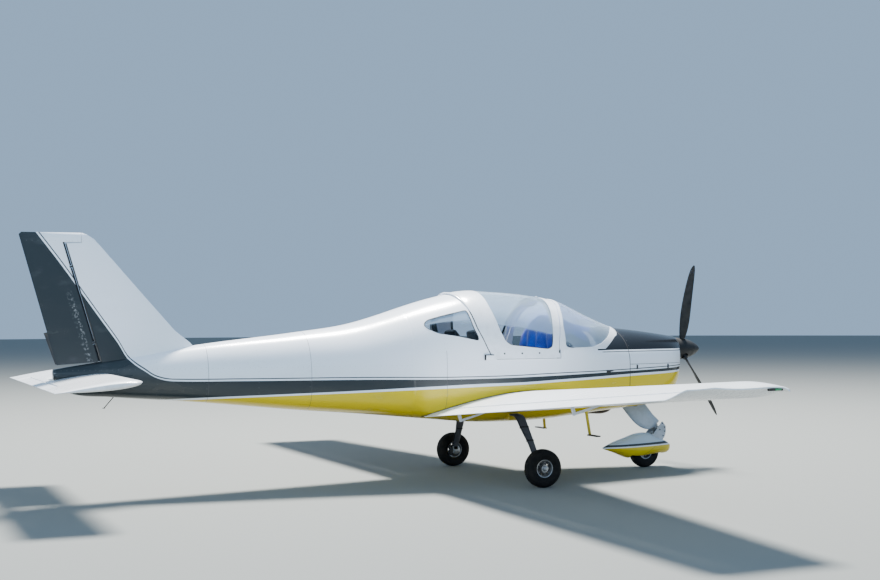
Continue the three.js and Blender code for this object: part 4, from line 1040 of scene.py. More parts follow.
def canopy():
    skin = body_shell("canopy_frame_skin", CANOPY_HULL, -560, 600, 11, 6)
    carved(skin, through(canopy_side()), how="INTERSECT")
    carved(skin, through(CANOPY_WINDOW_EDGE))
    for vertex in skin.data.vertices:
        x, y, z = vertex.co
        ahead = x - seam_x(z)
        half, _, belt, top, _, power = row_at(CANOPY_HULL, x)
        if ahead < 60 and (abs(y) / (half + 8)) ** power + (max(z - belt, 0) / (top + 8 - belt)) ** power > 1:
            drop = 4.5 * (1 - max(ahead, 0) / 60) ** 2 / math.hypot(y, z - 1050)
            vertex.co = (x, y * (1 - drop), z - (z - 1050) * drop)
    finished(skin, "canopy", TRIM_WHITE, ["canopy_frame"])
    # painted shadow: a black rubber strip along the canopy's rear edge stands in for the shade in the seam
    seam_shadow_strip = body_shell("canopy_seam_shadow_strip", HULL, -500, -240, 1.6, 3)
    low, high = ([(x + by, z) for x, z in CANOPY_REAR[:4]] for by in (-8, 3))
    carved(seam_shadow_strip, through(low + high[::-1]), how="INTERSECT")
    finished(seam_shadow_strip, "airframe", BLACK_RUBBER)
    pane = body_shell("canopy_pane", CANOPY_HULL, -520, 560, 9.5, 3.5)
    carved(pane, through(grown(CANOPY_WINDOW_EDGE, -0.6)), how="INTERSECT")
    finished(pane, "canopy", GLASS, ["canopy_glass"])
    seal = body_shell("canopy_seal", CANOPY_HULL, -520, 560, 5, 3)
    carved(seal, through(grown(CANOPY_WINDOW_EDGE, 16)), how="INTERSECT")
    carved(seal, through(grown(CANOPY_WINDOW_EDGE, -7), 2 * FAR))
    finished(seal, "canopy", BLACK_RUBBER)


def canopy_tubes():
    """Tubes inside the canopy, along its two hoops and its sills."""
    turns = [math.radians(a) for a in range(8, 173, 12)]
    front, rear = (
        [
            section_point(table, x, turn, -14) for turn in turns
        ] for table, x in ((CANOPY_HULL, 420), (HULL, -330))
    )
    tubes = [
        pipe("canopy_tube", [(372 + max(z - 1500, 0) * 0.28, y, z) for _, y, z in front], 11),
        pipe("canopy_tube", [(-262 - (z - 1116) * 0.4, y, z) for _, y, z in rear], 11),
    ]
    for y in (-528, 528):
        tubes.append(pipe("canopy_tube", [(-262, y, 1122), (60, y * 1.006, 1120), (372, y, 1120)], 11))
    finished(merged("canopy_tubes", *tubes), "canopy", TRIM_WHITE)


def canopy_fittings():
    """Shoes on the rails, screws along the sill, the catch on top and the handle."""
    shoes, screws = [], []
    for y in (-RAIL_Y, RAIL_Y):
        for x in (302, 345):
            shoes.append(brick("shoe", (x, y - 13, 1078), (x + 30, y - 4.6, 1146), 3))
            shoes.append(brick("shoe", (x, y + 4.6, 1078), (x + 30, y + 13, 1146), 3))
            shoes.append(brick("shoe", (x, y - 13, 1101), (x + 30, y + 13, 1146), 3))
    finished(merged("canopy_shoes", *shoes), "canopy", DARK_METAL)
    for x in (-174, 4, 182):
        for side in (-1, 1):
            y = side * (side_y(CANOPY_HULL, x, 1163, 11) - 0.5)
            screws.append(rod("screw", (x, y, 1163), (x, y + side * 3.2, 1163), 9, 7, 14, 0.8))
    finished(merged("canopy_screws", *screws), "canopy", BLACK_RUBBER)
    top = section_point(CANOPY_HULL, 470, math.pi / 2, 11)[2]
    knob = rod("canopy_top_catch", (452, 0, top - 2), (452, 0, top + 14), 13, 9, 28, 2.5)
    foot = brick("canopy_top_catch", (424, -17, top - 3), (486, 17, top + 4), 2.5)
    finished(merged("canopy_top_catch", knob, foot), "canopy", TRIM_WHITE)
    handle = pipe("canopy_handle", [
        (402, 95, 1628), (372, 92, 1604), (366, 0, 1600), (372, -92, 1604), (402, -95, 1628),
    ], 8)
    finished(handle, "canopy", DARK_METAL)


def sill_rails():
    """Rails inside the sills, and the canopy's blocks at its lower rear corners."""
    rails, blocks, seals = [], [], []
    y = side_y(HULL, -316, 1132)
    for side in SIDES:
        for group, low, high, bevel, segments in (
            (rails, (-250, RAIL_Y - 3, 1058), (388, RAIL_Y + 3, 1098), 1.2, 2),
            (rails, (-250, RAIL_Y - 3, 1056), (388, RAIL_Y + 36, 1064), 1.5, 2),
            (blocks, (-361, y + 3, 1113), (-281, y + 14, 1152), 4, 3),
            (seals, (-372, y + 4, 1106), (-358, y + 17, 1158), 3, 2),
            (seals, (-361, y + 4, 1150), (-281, y + 17, 1157), 2, 2),
        ):
            group.append(sided(brick("bar", low, high, bevel, segments), side, "bar"))
    finished(merged("sill_rails", *rails), "airframe", STEEL)
    finished(merged("corner_blocks", *blocks), "canopy", TRIM_WHITE)
    finished(merged("corner_seals", *seals), "canopy", BLACK_RUBBER)


def windscreen():
    def bubble(name, outer, wall):
        shell = body_shell(name, BUBBLE, 381, 1285, outer, wall, step=18)
        carved(
            shell, body_solid("cut", DECK, HOOP_X - 120, COWL_FRONT_X, 0.4),
            slab("cut", 0, 1500, 0, SCREEN_SILL_Z + 0.4),
        )
        return carved(shell, through([
            *((x + 3, z) for x, z in CANOPY_SEAM), (1400, 1850), (1400, 1100),
        ]), how="INTERSECT")

    opening = rounded(SCREEN_WINDOW, 26)
    surround = carved(bubble("windscreen_surround", 1.0, 7), through(opening))
    finished(surround, "airframe", TRIM_WHITE, ["windscreen_frame"])
    pane = bubble("windscreen_pane", -1.5, 4)
    carved(pane, through(grown(opening, -0.6)), how="INTERSECT")
    finished(pane, "airframe", SCREEN_GLASS, ["windscreen_glass"])


# Cabin fittings
SEAT_Y = 245
DIALS = [
    (-330, 1215, 40), (-240, 1225, 40), (-330, 1125, 40), (-240, 1130, 40), (-150, 1225, 40),
    (-150, 1130, 40),
    (330, 1215, 28), (262, 1215, 28), (330, 1145, 28), (262, 1145, 28), (196, 1215, 28), (196, 1145, 28),
]


def seat_cushion(name, low, high, thick, tilt, crown):
    """A stuffed pad: crowned faces, pulled-in sides, three sewn channels."""
    across, along = 28, 30
    rows = []
    for j in range(along + 1):
        v = j / along
        row = []
        for i in range(across):
            turn = 2 * math.pi * i / across
            u, w = math.cos(turn), math.sin(turn)
            reach = (abs(u) ** 4 + abs(w) ** 4) ** -0.25
            end = 1 - abs(2 * v - 1) ** 5 * 0.22
            channel = 1 - 0.10 * math.exp(-((v * 4 % 1 - 0.5) ** 2) / 0.006)
            half = (high[1] - low[1]) / 2 * (0.96 + 0.04 * math.sin(math.pi * v)) * end
            rise = thick / 2 * (1 + crown * (1 - (u * reach) ** 2)) * end * (channel if w > 0 else 1)
            row.append(((low[0] + (high[0] - low[0]) * v), half * u * reach, rise * w * reach))
        rows.append(row)
    piece = lofted(name, rows)
    piece.data.transform(Matrix.Rotation(math.radians(tilt), 4, "Y"))
    return modified(piece, "SUBSURF", levels=1, render_levels=1)


def seats():
    for side, name in SIDES.items():
        y = side * SEAT_Y
        base = seat_cushion("base", (-215, -196), (215, 196), 92, 6, 0.16)
        base.data.transform(Matrix.Translation((150, y, 762)))
        back = seat_cushion("back", (-260, -188), (260, 188), 74, 66, 0.12)
        back.data.transform(Matrix.Translation((-192, y, 1022)))
        head = seat_cushion("head", (-64, -118), (64, 118), 62, 70, 0.2)
        head.data.transform(Matrix.Translation((-322, y, 1306)))
        pad = merged("seat_cushions_" + name, base, back, head)
        finished(pad, "airframe", SEAT_CLOTH, ["seat_" + name], angle=60)
        tub = brick("tub", (-70, y - 186, 640), (330, y + 186, 712), 22, 4)
        shell = brick("shell", (-20, -176, -240), (0, 176, 250), 9, 3)
        shell.data.transform(Matrix.Translation((-246, y, 990)) @ Matrix.Rotation(math.radians(-24), 4, "Y"))
        finished(merged("seat_frame_" + name, tub, shell), "airframe", PANEL_BLACK)
        belts = []
        for dy in (-74, 74):
            belts.append(ribbon("belt", [
                (-352, y + dy * 0.6, 1262), (-322, y + dy * 0.62, 1352), (-268, y + dy * 0.8, 1300),
                (-150, y + dy, 1040), (-62, y + dy, 862), (60, y + dy * 0.5, 822),
            ], 44, 2.2))
        belts.append(ribbon("belt", [
            (-60, y - 190, 760), (-20, y - 120, 826), (60, y, 834), (-20, y + 120, 826), (-60, y + 190, 760),
        ], 46, 2.4, (1, 0, 0.6)))
        buckle = brick("buckle", (36, y - 34, 826), (86, y + 34, 846), 5, 3)
        finished(merged("harness_" + name, *belts), "airframe", BELT_WEB, angle=60)
        finished(buckle, "airframe", STEEL)
        buckle.name = "belt_buckle_" + name


def ribbon(name, points, width, thick, flat=(0, 1, 0)):
    """A flat strap along points."""
    across = Vector(flat).normalized() * width / 2
    smooth = []
    for k in range(len(points) - 1):
        a, b = Vector(points[k]), Vector(points[k + 1])
        before = Vector(points[max(k - 1, 0)])
        after = Vector(points[min(k + 2, len(points) - 1)])
        for t in (0, 0.25, 0.5, 0.75):
            pull = (b - before) * 0.5 * t * (1 - t) ** 2 - (after - a) * 0.5 * t ** 2 * (1 - t)
            smooth.append(a + (b - a) * (3 * t ** 2 - 2 * t ** 3) + pull)
    smooth.append(Vector(points[-1]))
    piece = lofted(name, [[tuple(p - across), tuple(p + across)] for p in smooth], closed=False)
    return modified(piece, "SOLIDIFY", thickness=thick, offset=0)


def instrument_board():
    board = carved(
        slab("board", PANEL_X - 6, PANEL_X + 14, 985, 1600),
        body_solid("cut", DECK, HOOP_X, FIREWALL_X, -WALL - 5), how="INTERSECT",
    )
    finished(board, "airframe", PANEL_BLACK)
    faces, rims = [], []
    for y, z, radius in DIALS:
        rims.append(spun("rim", [
            (radius, 0), (radius, -5), (radius - 2, -7), (radius - 5, -6), (radius - 5, 0),
        ], (PANEL_X - 6, y, z), (1, 0, 0), 36))
        faces.append(rod("face", (PANEL_X - 8, y, z), (PANEL_X - 6, y, z), radius - 4, sides=36))
        hand = brick("hand", (PANEL_X - 10, y - 1.6, z - 3), (PANEL_X - 8.6, y + 1.6, z + radius * 0.62), 0.4)
        shift = Matrix.Translation((0, y, z))
        hand.data.transform(shift @ Matrix.Rotation(math.radians(y + z), 4, "X") @ shift.inverted())
        rims.append(hand)
    screen = brick("screen", (PANEL_X - 12, -92, 1092), (PANEL_X - 6, 128, 1262), 3, 3)
    finished(merged("dial_rims", *rims), "airframe", STEEL)
    finished(merged("dial_faces", *faces), "airframe", GAUGE_FACE)
    finished(screen, "airframe", SCREEN_FACE)
    screen.name = "panel_screen"
    for side, name in SIDES.items():
        y = side * SEAT_Y
        stick = pipe("stick", [(300, y, 640), (318, y, 740), (392, y, 905)], 9)
        grip = spun("grip", [
            (0.5, 0), (15, 0), (18, 12), (15, 40), (17, 70), (15, 104), (8, 116), (0.5, 118),
        ], (392, y, 896), (0.2, 0, 1), 24)
        finished(merged("control_stick_" + name, stick, grip), "airframe", PANEL_BLACK)


def blue_cover():
    """The blue cloth laid over the coaming, with its aft edge hanging in folds."""
    random.seed(5)
    waves = [(random.uniform(5, 16), random.uniform(0, 6.28), random.uniform(7, 13)) for _ in range(4)]
    # along the cloth: x, height over the middle, half width
    run = [
        (1138, 1358, 210), (1060, 1378, 300), (960, 1392, 372), (860, 1408, 418), (760, 1432, 440),
        (660, 1474, 436), (590, 1506, 420), (535, 1500, 410), (500, 1440, 405), (482, 1360, 400),
        (470, 1270, 398), (466, 1185, 396),
    ]
    columns, lengths = 56, 55
    rows = []
    for j in range(lengths + 1):
        t = j / lengths * (len(run) - 1)
        x, top, half = row_at([(n, *row) for n, row in enumerate(run)], t)
        hang = max(0.0, (t - 7) / 4)
        row = []
        for i in range(columns + 1):
            u = 2 * i / columns - 1
            fold = sum(math.sin(f * u + p + 0.35 * t) * size for f, p, size in waves) * (0.22 + 0.9 * hang)
            ridge = 10 * math.sin(9 * u + 0.8 * t) * (1 - hang) * 0.6
            drop = 0.42 * half * abs(u) ** 2.6 * (1 - 0.75 * hang)
            row.append((x - fold * hang, half * u, top - drop + (fold * 0.45 + ridge) * (1 - hang)))
        rows.append(row)
    piece = lofted("blue_cover", rows, closed=False)
    edited(piece, lambda: bpy.ops.mesh.normals_make_consistent(inside=False))
    modified(piece, "SOLIDIFY", thickness=3, offset=0)
    finished(piece, "airframe", BLUE_CLOTH, ["instrument_panel"], angle=70)


# Tail
RUDDER_TOP = Vector((-3950, 0, 2112))
RUDDER_BOTTOM = Vector((-3662, 0, 1132))
FIN_TOP_Z = 2200
FIN_GAP = 30
FIN_OUTLINE = [
    (-2840, 1225), (-2900, 1290), (-3030, 1392), (-3330, 1732), (-3650, 2100), (-3700, 2152), (-3755, 2188),
    (-3792, 2200), (-4100, 2200), (-3900, 1060), (-3400, 1130),
]
HORN_Z, HORN_X = 2122, -3800
STAB_LEAD_X, STAB_CHORD, STAB_LEAD_Z = -3568, 635, 1025
STAB_DROOP = math.tan(0.101)
STAB_PIVOT = (-3730, 1012)
STAB_ROOT_Y = 128
TAB_X, TAB_HALF = -4105, 820


def thickness_at(s):
    """Half thickness of the usual four-digit section, for a thickness of one."""
    return 5 * (0.2969 * math.sqrt(s) - 0.126 * s - 0.3516 * s ** 2 + 0.2843 * s ** 3 - 0.1015 * s ** 4)


def foil_stations(count):
    return [(1 - math.cos(math.pi * i / count)) / 2 for i in range(count + 1)]


def fin_foil():
    rings = []
    for z, share in (
        (1000, 1), (1290, 1), (1500, 1), (1700, 1), (1900, 1), (2050, 1), (2130, 1), (2158, 0.95),
        (2178, 0.84), (2192, 0.64), (2200, 0.36),
    ):
        front, back = -2860 - 0.87 * (z - 1290), -3990 - 0.28 * (z - 1110)
        upper, lower = [], []
        for s in foil_stations(24):
            half = max(2, (front - back) * 0.088 * thickness_at(s)) * share
            x = front + (back - front) * s
            upper.append((x, half if s > 0 else 0, z))
            if s > 0:
                lower.insert(0, (x, -half, z))
        rings.append(upper + lower)
    return lofted("fin_foil", rings)


def hinge(at, axis, ahead):
    """A hinge's lug, the notch that it stands in, and its pin."""
    along, ahead = Vector(axis).normalized(), Vector(ahead).normalized()
    place = Matrix.Translation(at) @ Matrix((along, ahead, along.cross(ahead))).transposed().to_4x4()

    def block(half, start, end, thick):
        piece = brick("lug", (-half, start, -thick), (half, end, thick))
        piece.data.transform(place)
        return piece

    def disc(radius, half):
        piece = rod("lug", (-half, 0, 0), (half, 0, 0), radius)
        piece.data.transform(place)
        return piece

    lug = carved(block(7, 0, 45, 11), disc(11, 7), how="UNION")
    notch = carved(block(12, 0, 70, 70), disc(16, 12), how="UNION")
    return lug, notch, disc(4, 18)


def fin_and_rudder():
    axis = (RUDDER_TOP - RUDDER_BOTTOM).normalized()
    ahead = Vector((axis.z, 0, -axis.x))
    low, high = RUDDER_BOTTOM + ahead * FIN_GAP, RUDDER_TOP - axis * 10 + ahead * FIN_GAP
    swept = through([
        (low.x, low.z), (high.x, high.z), (HORN_X + 6, HORN_Z - 6), (HORN_X + 6, 2300), (-4500, 2300),
        (-4300, 1000), (-3625, 1000),
    ])
    fin = carved(fin_foil(), through(FIN_OUTLINE), how="INTERSECT")
    carved(fin, swept, body_solid("cut", HULL, -4020, CONE_X, 0.3))
    behind = through([
        (RUDDER_BOTTOM.x, 1136), (RUDDER_TOP.x, HORN_Z), (HORN_X, HORN_Z), (HORN_X, FIN_TOP_Z),
        (-4270, FIN_TOP_Z),
        (-4291, 2180), (-3992, 1114),
    ])
    rudder = carved(fin_foil(), behind, how="INTERSECT")
    nose = carved(
        rod("nose", RUDDER_BOTTOM - axis * 60, RUDDER_TOP + axis * 60, 24, 21, 48),
        slab("keep", -4200, -3500, 1142, HORN_Z), how="INTERSECT",
    )
    carved(rudder, nose, how="UNION")
    carved(rudder, body_solid("cut", HULL, -4020, CONE_X, 6))
    lugs, pins = [], []
    for share in (0.16, 0.8):
        lug, notch, pin = hinge(RUDDER_BOTTOM.lerp(RUDDER_TOP, share), axis, ahead)
        carved(rudder, notch)
        lugs.append(lug)
        pins.append(pin)
    finished(fin, "airframe", FIN_PAINT, ["fin"])
    # painted shade: the fin's aft face in the hinge gap takes the black rubber finish, so the gap reads dark
    fin.data.materials.append(BLACK_RUBBER)
    for face in fin.data.polygons:
        at = (face.center - Vector((AXLE_X, 0, 0))) / MM
        if at.z < HORN_Z and abs((at - RUDDER_BOTTOM).dot(ahead) - FIN_GAP) < 1:
            face.material_index = 1
    finished(bevelled(rudder, 2, 2, 50), "rudder_body", FIN_PAINT, ["rudder"])
    finished(merged("rudder_lugs", *lugs), "airframe", DARK_METAL)
    finished(merged("rudder_pins", *pins), "rudder_body", STEEL)
    strip = prism(
        "rudder_trim_strip", [(-3985, 1122), (-4001, 1119), (-4094, 1378), (-4056, 1386)], -1.6, 1.6,
    )
    finished(strip, "rudder_body", DARK_METAL)


def tail_surface():
    rings = []
    for y, lead, share in (
        (1448, -70, 0.25), (1446, -62, 0.42), (1440, -46, 0.62), (1423, -22, 0.84), (1398, -8, 0.94),
        (1368, 0, 1),
        (1000, 0, 1), (500, 0, 1), (0, 0, 1),
    ):
        upper, lower = [], []
        chord = STAB_CHORD + lead
        for s in foil_stations(22):
            half = max(1.6, STAB_CHORD * 0.1 * thickness_at(s) * share)
            x = STAB_LEAD_X + lead - chord * s
            z = STAB_LEAD_Z - (STAB_LEAD_X - x) * STAB_DROOP
            upper.append((x, -y, z + (half if s > 0 else 0)))
            if s > 0:
                lower.insert(0, (x, -y, z - half))
        rings.append(upper + lower)
    rings += [[(x, -y, z) for x, y, z in ring] for ring in reversed(rings[:-1])]
    return lofted("stabilator_foil", rings)


def stabilator():
    hinge_z = STAB_LEAD_Z - (STAB_LEAD_X - TAB_X) * STAB_DROOP
    skin = carved(
        tail_surface(),
        brick("cut", (-4045, -STAB_ROOT_Y, 800), (-3500, STAB_ROOT_Y, 1200)),
        brick("cut", (-4400, -TAB_HALF - 6, 800), (TAB_X + 15, TAB_HALF + 6, 1200)),
    )
    tab = carved(
        tail_surface(), brick("keep", (-4400, -TAB_HALF, 800), (TAB_X, TAB_HALF, 1200)), how="INTERSECT",
    )
    carved(
        tab, rod("nose", (TAB_X, -TAB_HALF, hinge_z), (TAB_X, TAB_HALF, hinge_z), 8.5, sides=24),
        how="UNION",
    )
    for y in (-560, 560):
        carved(tab, brick("cut", (TAB_X, y - 9, hinge_z - 30), (TAB_X + 30, y + 9, hinge_z + 30)))
    tube = rod(
        "tail_tube", (STAB_PIVOT[0], -200, STAB_PIVOT[1]), (STAB_PIVOT[0], 200, STAB_PIVOT[1]), 19, sides=40,
    )
    lugs = [rod("lug", (TAB_X, y - 5, hinge_z), (TAB_X, y + 5, hinge_z), 6) for y in (-560, 560)]
    lugs += [
        brick("lug", (TAB_X, y - 5, hinge_z - 6), (TAB_X + 24, y + 5, hinge_z + 6), 1) for y in (-560, 560)
    ]
    finished(bevelled(skin, 1.5, 2, 50), "stabilator_body", TAIL_WHITE, ["stabilator"])
    finished(tube, "stabilator_body", STEEL)
    finished(merged("tab_lugs", *lugs), "stabilator_body", DARK_METAL)
    finished(tab, "tab_body", TAIL_WHITE, ["stabilator_tab"])


# Wing
WING_ROOT_Y, WING_TIP_Y, WING_TRAIL_X = 420, 4130, -900
WING_HINGE_X = -730
FLAP_Y, AILERON_Y = (562, 2744), (2756, 4118)
FLAP_BRACKETS, AILERON_HINGES = (760, 2712), (3000, 3880)
FLAP_PIVOT_X, FLAP_DROP = WING_HINGE_X + 20, 54


def wing_at(y):
    """Leading edge X and Z, trailing edge Z and thickness of the wing at a place out."""
    t = (y - WING_ROOT_Y) / (WING_TIP_Y - WING_ROOT_Y)
    return tuple(a + (b - a) * t for a, b in ((498, 0), (716, 1006), (613, 964), (0.13, 0.12)))


def wing_z(x, y, side):
    """Height of the wing's upper side (1), middle (0) or lower side (-1)."""
    lead_x, lead_z, trail_z, thick = wing_at(y)
    chord = lead_x - WING_TRAIL_X
    s = min(max((lead_x - x) / chord, 0), 1)
    half = max(1.5, thick * thickness_at(s) * chord)
    return lead_z + (trail_z - lead_z) * s + 0.12 * s * (1 - s) * chord + side * half


def wing_ring(y, count=26):
    lead_x = wing_at(y)[0]
    upper, lower = [], []
    for s in foil_stations(count):
        x = lead_x + (WING_TRAIL_X - lead_x) * s
        upper.append((x, y, wing_z(x, y, 1 if s > 0 else 0)))
        if s > 0:
            lower.insert(0, (x, y, wing_z(x, y, -1)))
    return upper + lower


def nose_radius(y):
    return (wing_z(WING_HINGE_X, y, 1) - wing_z(WING_HINGE_X, y, -1)) / 2 - 0.5


def surface_ring(y):
    """Section of a flap or aileron: the wing's own faces behind the hinge and a round nose."""
    xs = [WING_TRAIL_X + (WING_HINGE_X - WING_TRAIL_X) * k / 7 for k in range(8)]
    middle, radius = wing_z(WING_HINGE_X, y, 0), nose_radius(y)
    nose = [
        (WING_HINGE_X + radius * math.cos(a), y, middle + radius * math.sin(a))
        for a in (math.pi * (0.5 - k / 12) for k in range(1, 12))
    ]
    top = [(x, y, wing_z(x, y, 1)) for x in xs]
    bottom = [(x, y, wing_z(x, y, -1)) for x in reversed(xs)]
    return top + nose + bottom


def steps_between(start, end, size=220):
    count = max(2, math.ceil(abs(end - start) / size))
    return [start + (end - start) * k / count for k in range(count + 1)]


def wing_tip_ring(row):
    y, lead, trail, rise = row
    lead_x = wing_at(WING_TIP_Y)[0]
    ring = []
    for x, _, z in wing_ring(WING_TIP_Y):
        s = (lead_x - x) / (lead_x - WING_TRAIL_X)
        upper = wing_z(x, WING_TIP_Y, 1)
        height = z + (upper - 7 - z) * rise if z < upper - 0.01 and s > 0 else z
        curl = (70 * s ** 4 - 32 * math.sin(math.pi * min(s * 1.35, 1))) * ((y - WING_TIP_Y) / 165) ** 2
        ring.append((lead_x + lead + (WING_TRAIL_X + trail - lead_x - lead) * s, y, height + curl))
    return ring


WING_TIP_ROWS = [
    (4130.3, 0, 0, 0), (4215, -4, 12, 0.42), (4270, -10, 40, 0.82), (4292, -18, 64, 0.95),
    (4300, -34, 84, 0.98),
]


def flap_pivot(y):
    return FLAP_PIVOT_X, y, wing_z(FLAP_PIVOT_X, y, -1) - FLAP_DROP


def wing_half(side, name):
    foil = lofted("wing_foil", [wing_ring(y) for y in steps_between(WING_ROOT_Y, WING_TIP_Y)])
    for (start, end), pad_in, pad_out in ((FLAP_Y, 6, 6), (AILERON_Y, 6, 6)):
        edge = WING_HINGE_X + nose_radius(start) + 6
        carved(foil, brick("cut", (-1200, start - pad_in, 0), (edge, end + pad_out, FAR)))
    carved(
        foil, hull_tool(), body_solid("cut", DECK, HOOP_X - 1, FIREWALL_X, 0.3),
    )
    finished(sided(foil, side, "wing_skin_" + name), "airframe", WING_PAINT, ["wing_" + name])

    aileron = lofted("aileron", [surface_ring(y) for y in steps_between(*AILERON_Y)])
    flap = lofted("flap", [surface_ring(y) for y in steps_between(*FLAP_Y)])
    axis = Vector((WING_HINGE_X, AILERON_Y[1], wing_z(WING_HINGE_X, AILERON_Y[1], 0))) - Vector(
        (WING_HINGE_X, AILERON_Y[0], wing_z(WING_HINGE_X, AILERON_Y[0], 0)))
    lugs, pins = [], []
    for y in AILERON_HINGES:
        lug, notch, pin = hinge((WING_HINGE_X, y, wing_z(WING_HINGE_X, y, 0)), axis, (1, 0, 0))
        carved(aileron, notch)
        lugs.append(lug)
        pins.append(pin)
    finished(
        sided(aileron, side, "aileron_skin_" + name), "aileron_body_" + name, WING_PAINT,
        ["aileron_" + name],
    )
    finished(
        sided(flap, side, "flap_skin_" + name), "flap_body_" + name, WING_PAINT,
        ["flap_" + name],
    )
    finished(
        sided(merged("pins", *pins), side, "aileron_pins_" + name), "aileron_body_" + name, STEEL,
    )

    horns = []
    for y in FLAP_BRACKETS:
        x, _, z = flap_pivot(y)

        def under(at):
            return wing_z(at, y, -1)

        lugs.append(prism("arm", rounded([
            (x - 11, z - 4), (x, z - 12), (x + 12, z - 8), (x + 262, under(x + 262) + 4),
            (x + 222, under(x + 222) + 6), (x + 8, z + 11), (x - 6, z + 11),
        ], 6), y - 4, y + 4))
        horns.append(prism("horn", rounded([
            (x - 10, z - 9), (x + 8, z - 9), (x + 9, z + 8), (x - 3, under(x - 3) + 10),
            (x - 34, under(x - 34) + 6),
        ], 5), y + 9, y + 17))
        horns.append(rod("pin", (x, y - 8, z), (x, y + 20, z), 4.5))
        horns.append(rod("nut", (x, y + 17, z), (x, y + 23, z), 8, sides=6))
    finished(
        sided(merged("lugs", *lugs), side, "wing_brackets_" + name), "airframe", TRIM_WHITE,
    )
    finished(
        sided(merged("horns", *horns), side, "flap_horns_" + name), "flap_body_" + name, TRIM_WHITE,
    )

    rows = [[y, *row_at(WING_TIP_ROWS, y)] for y in (
        4130.3, 4150, 4172, 4195, 4215, 4235, 4255, 4270, 4282, 4292, 4297, 4300,
    )]
    tip = lofted("tip", [wing_tip_ring(row) for row in rows])
    finished(
        sided(tip, side, "wing_tip_skin_" + name), "airframe", TIP_WHITE,
        ["wing_tip_" + name],
    )
    foot = brick("foot", (-186, 4268, 1012), (-74, 4291, 1032), 4, 3)
    finished(sided(foot, side, "tip_lamp_foot_" + name), "airframe", DARK_METAL)
    lamp = rod("lamp", (-140, 4289, 1022), (-92, 4289, 1022), 9, sides=32, bevel=5)
    finished(
        sided(lamp, side, "tip_lamp_" + name), "airframe", RED_LENS if side > 0 else GREEN_LENS,
    )

    seal = []
    for x in steps_between(-890, 448, 45):
        y = 540
        for _ in range(8):
            z = wing_z(x, y, 1)
            y = side_y(HULL, x, z)
        seal.append((x, y + 1, z + 1))
    finished(
        sided(pipe("seal", seal, 5), side, "wing_root_seal_" + name), "airframe", BLACK_RUBBER,
    )


# Wheels and legs
MAIN_HUB_Y, MAIN_RADIUS, MAIN_HALF, MAIN_RIM = 937.5, 168, 60, 78
NOSE_HUB, NOSE_RADIUS, NOSE_HALF, NOSE_RIM = (1650, 0, 155), 155, 52, 70


def tyre(name, body, node, radius, half, rim_radius, centre):
    """A tyre of round shoulders with four grooves round its tread and a bead at the rim."""
    profile = [(rim_radius, 0.62), (rim_radius + 4, 0.70), (rim_radius + 9, 0.72), (radius * 0.60, 0.90)]
    profile += [(radius * 0.72, 1.0), (radius * 0.80, 0.985), (radius * 0.87, 0.93), (radius * 0.925, 0.83)]
    profile += [
        (radius * 0.965, 0.66), (radius * 0.978, 0.585), (radius * 0.95, 0.565), (radius * 0.952, 0.52),
    ]
    profile += [
        (radius * 0.985, 0.50), (radius * 0.994, 0.28), (radius * 0.965, 0.265), (radius * 0.966, 0.215),
    ]
    profile += [(radius * 0.998, 0.20), (radius, 0.0)]
    ring = [(r, w * half) for r, w in profile]
    ring += [(r, -w) for r, w in reversed(ring[:-1])]
    piece = spun(name, ring, centre, (0, 1, 0), 96)
    return finished(piece, body, TYRE, [node], angle=30)


def rim(name, body, node, half, rim_radius, centre):
    """A cast rim: dished web with five holes, flanges, hub and bolts."""
    outer = rim_radius - 0.4
    profile = [
        (16, -half * 0.66), (32, -half * 0.66), (34, -half * 0.5), (37, -9), (outer - 12, -7),
        (outer - 8, -half * 0.45),
        (outer - 5, -half * 0.62), (outer, -half * 0.64), (outer, half * 0.64), (outer - 5, half * 0.62),
        (outer - 8, half * 0.45), (outer - 12, 7), (37, 9), (34, half * 0.5), (32, half * 0.66),
        (16, half * 0.66),
    ]
    piece = spun(name, profile, centre, (0, 1, 0), 96)
    centre = Vector(centre)
    reach = (37 + outer - 12) / 2
    for k in range(5):
        angle = 2 * math.pi * (k + 0.5) / 5
        at = centre + Vector((math.cos(angle), 0, math.sin(angle))) * reach
        carved(
            piece,
            rod("cut", at - Vector((0, 60, 0)), at + Vector((0, 60, 0)), (outer - 12 - 37) * 0.34, sides=28),
        )
    finished(piece, body, RIM_METAL, [node])
    web = spun("web", [(38, -11), (outer - 13, -9), (outer - 13, 9), (38, 11)], centre, (0, 1, 0), 64)
    for k in range(5):
        angle = 2 * math.pi * (k + 0.5) / 5
        at = centre + Vector((math.cos(angle), 0, math.sin(angle))) * reach
        carved(
            web,
            rod("cut", at - Vector((0, 60, 0)), at + Vector((0, 60, 0)), (outer - 12 - 37) * 0.34, sides=28),
        )
    web.name = web.data.name = name + "_web"
    finished(web, body, DARK_METAL)
    bolts = []
    for k in range(10):
        angle = 2 * math.pi * k / 10
        at = centre + Vector((math.cos(angle), 0, math.sin(angle))) * (reach if k % 2 == 0 else outer - 15)
        bolts.append(rod("bolt", at - Vector((0, 13, 0)), at + Vector((0, 13, 0)), 4.5, sides=6))
    for side in (-1, 1):
        cap = rod(
            "cap", centre + Vector((0, side * half * 0.64, 0)), centre + Vector((0, side * half * 0.78, 0)),
            27, 22,
            sides=40, bevel=2,
        )
        bolts.append(
            carved(cap, rod("cut", centre - Vector((0, 80, 0)), centre + Vector((0, 80, 0)), 16, sides=32)),
        )
    finished(merged(name + "_bolts", *bolts), body, STEEL)


LEG_PATH = [
    (370, 598, -50, 46), (440, 602, -50, 46), (500, 607, -50, 46), (558, 607, -50, 46), (598, 594, -48, 46),
    (626, 565, -44, 45), (672, 496, -35, 42), (720, 425, -24, 36), (770, 350, -14, 30), (812, 285, -9, 28),
    (877, 200, -4, 27),
]


def leg_row(t):
    return row_at([(n, *row) for n, row in enumerate(LEG_PATH)], t)


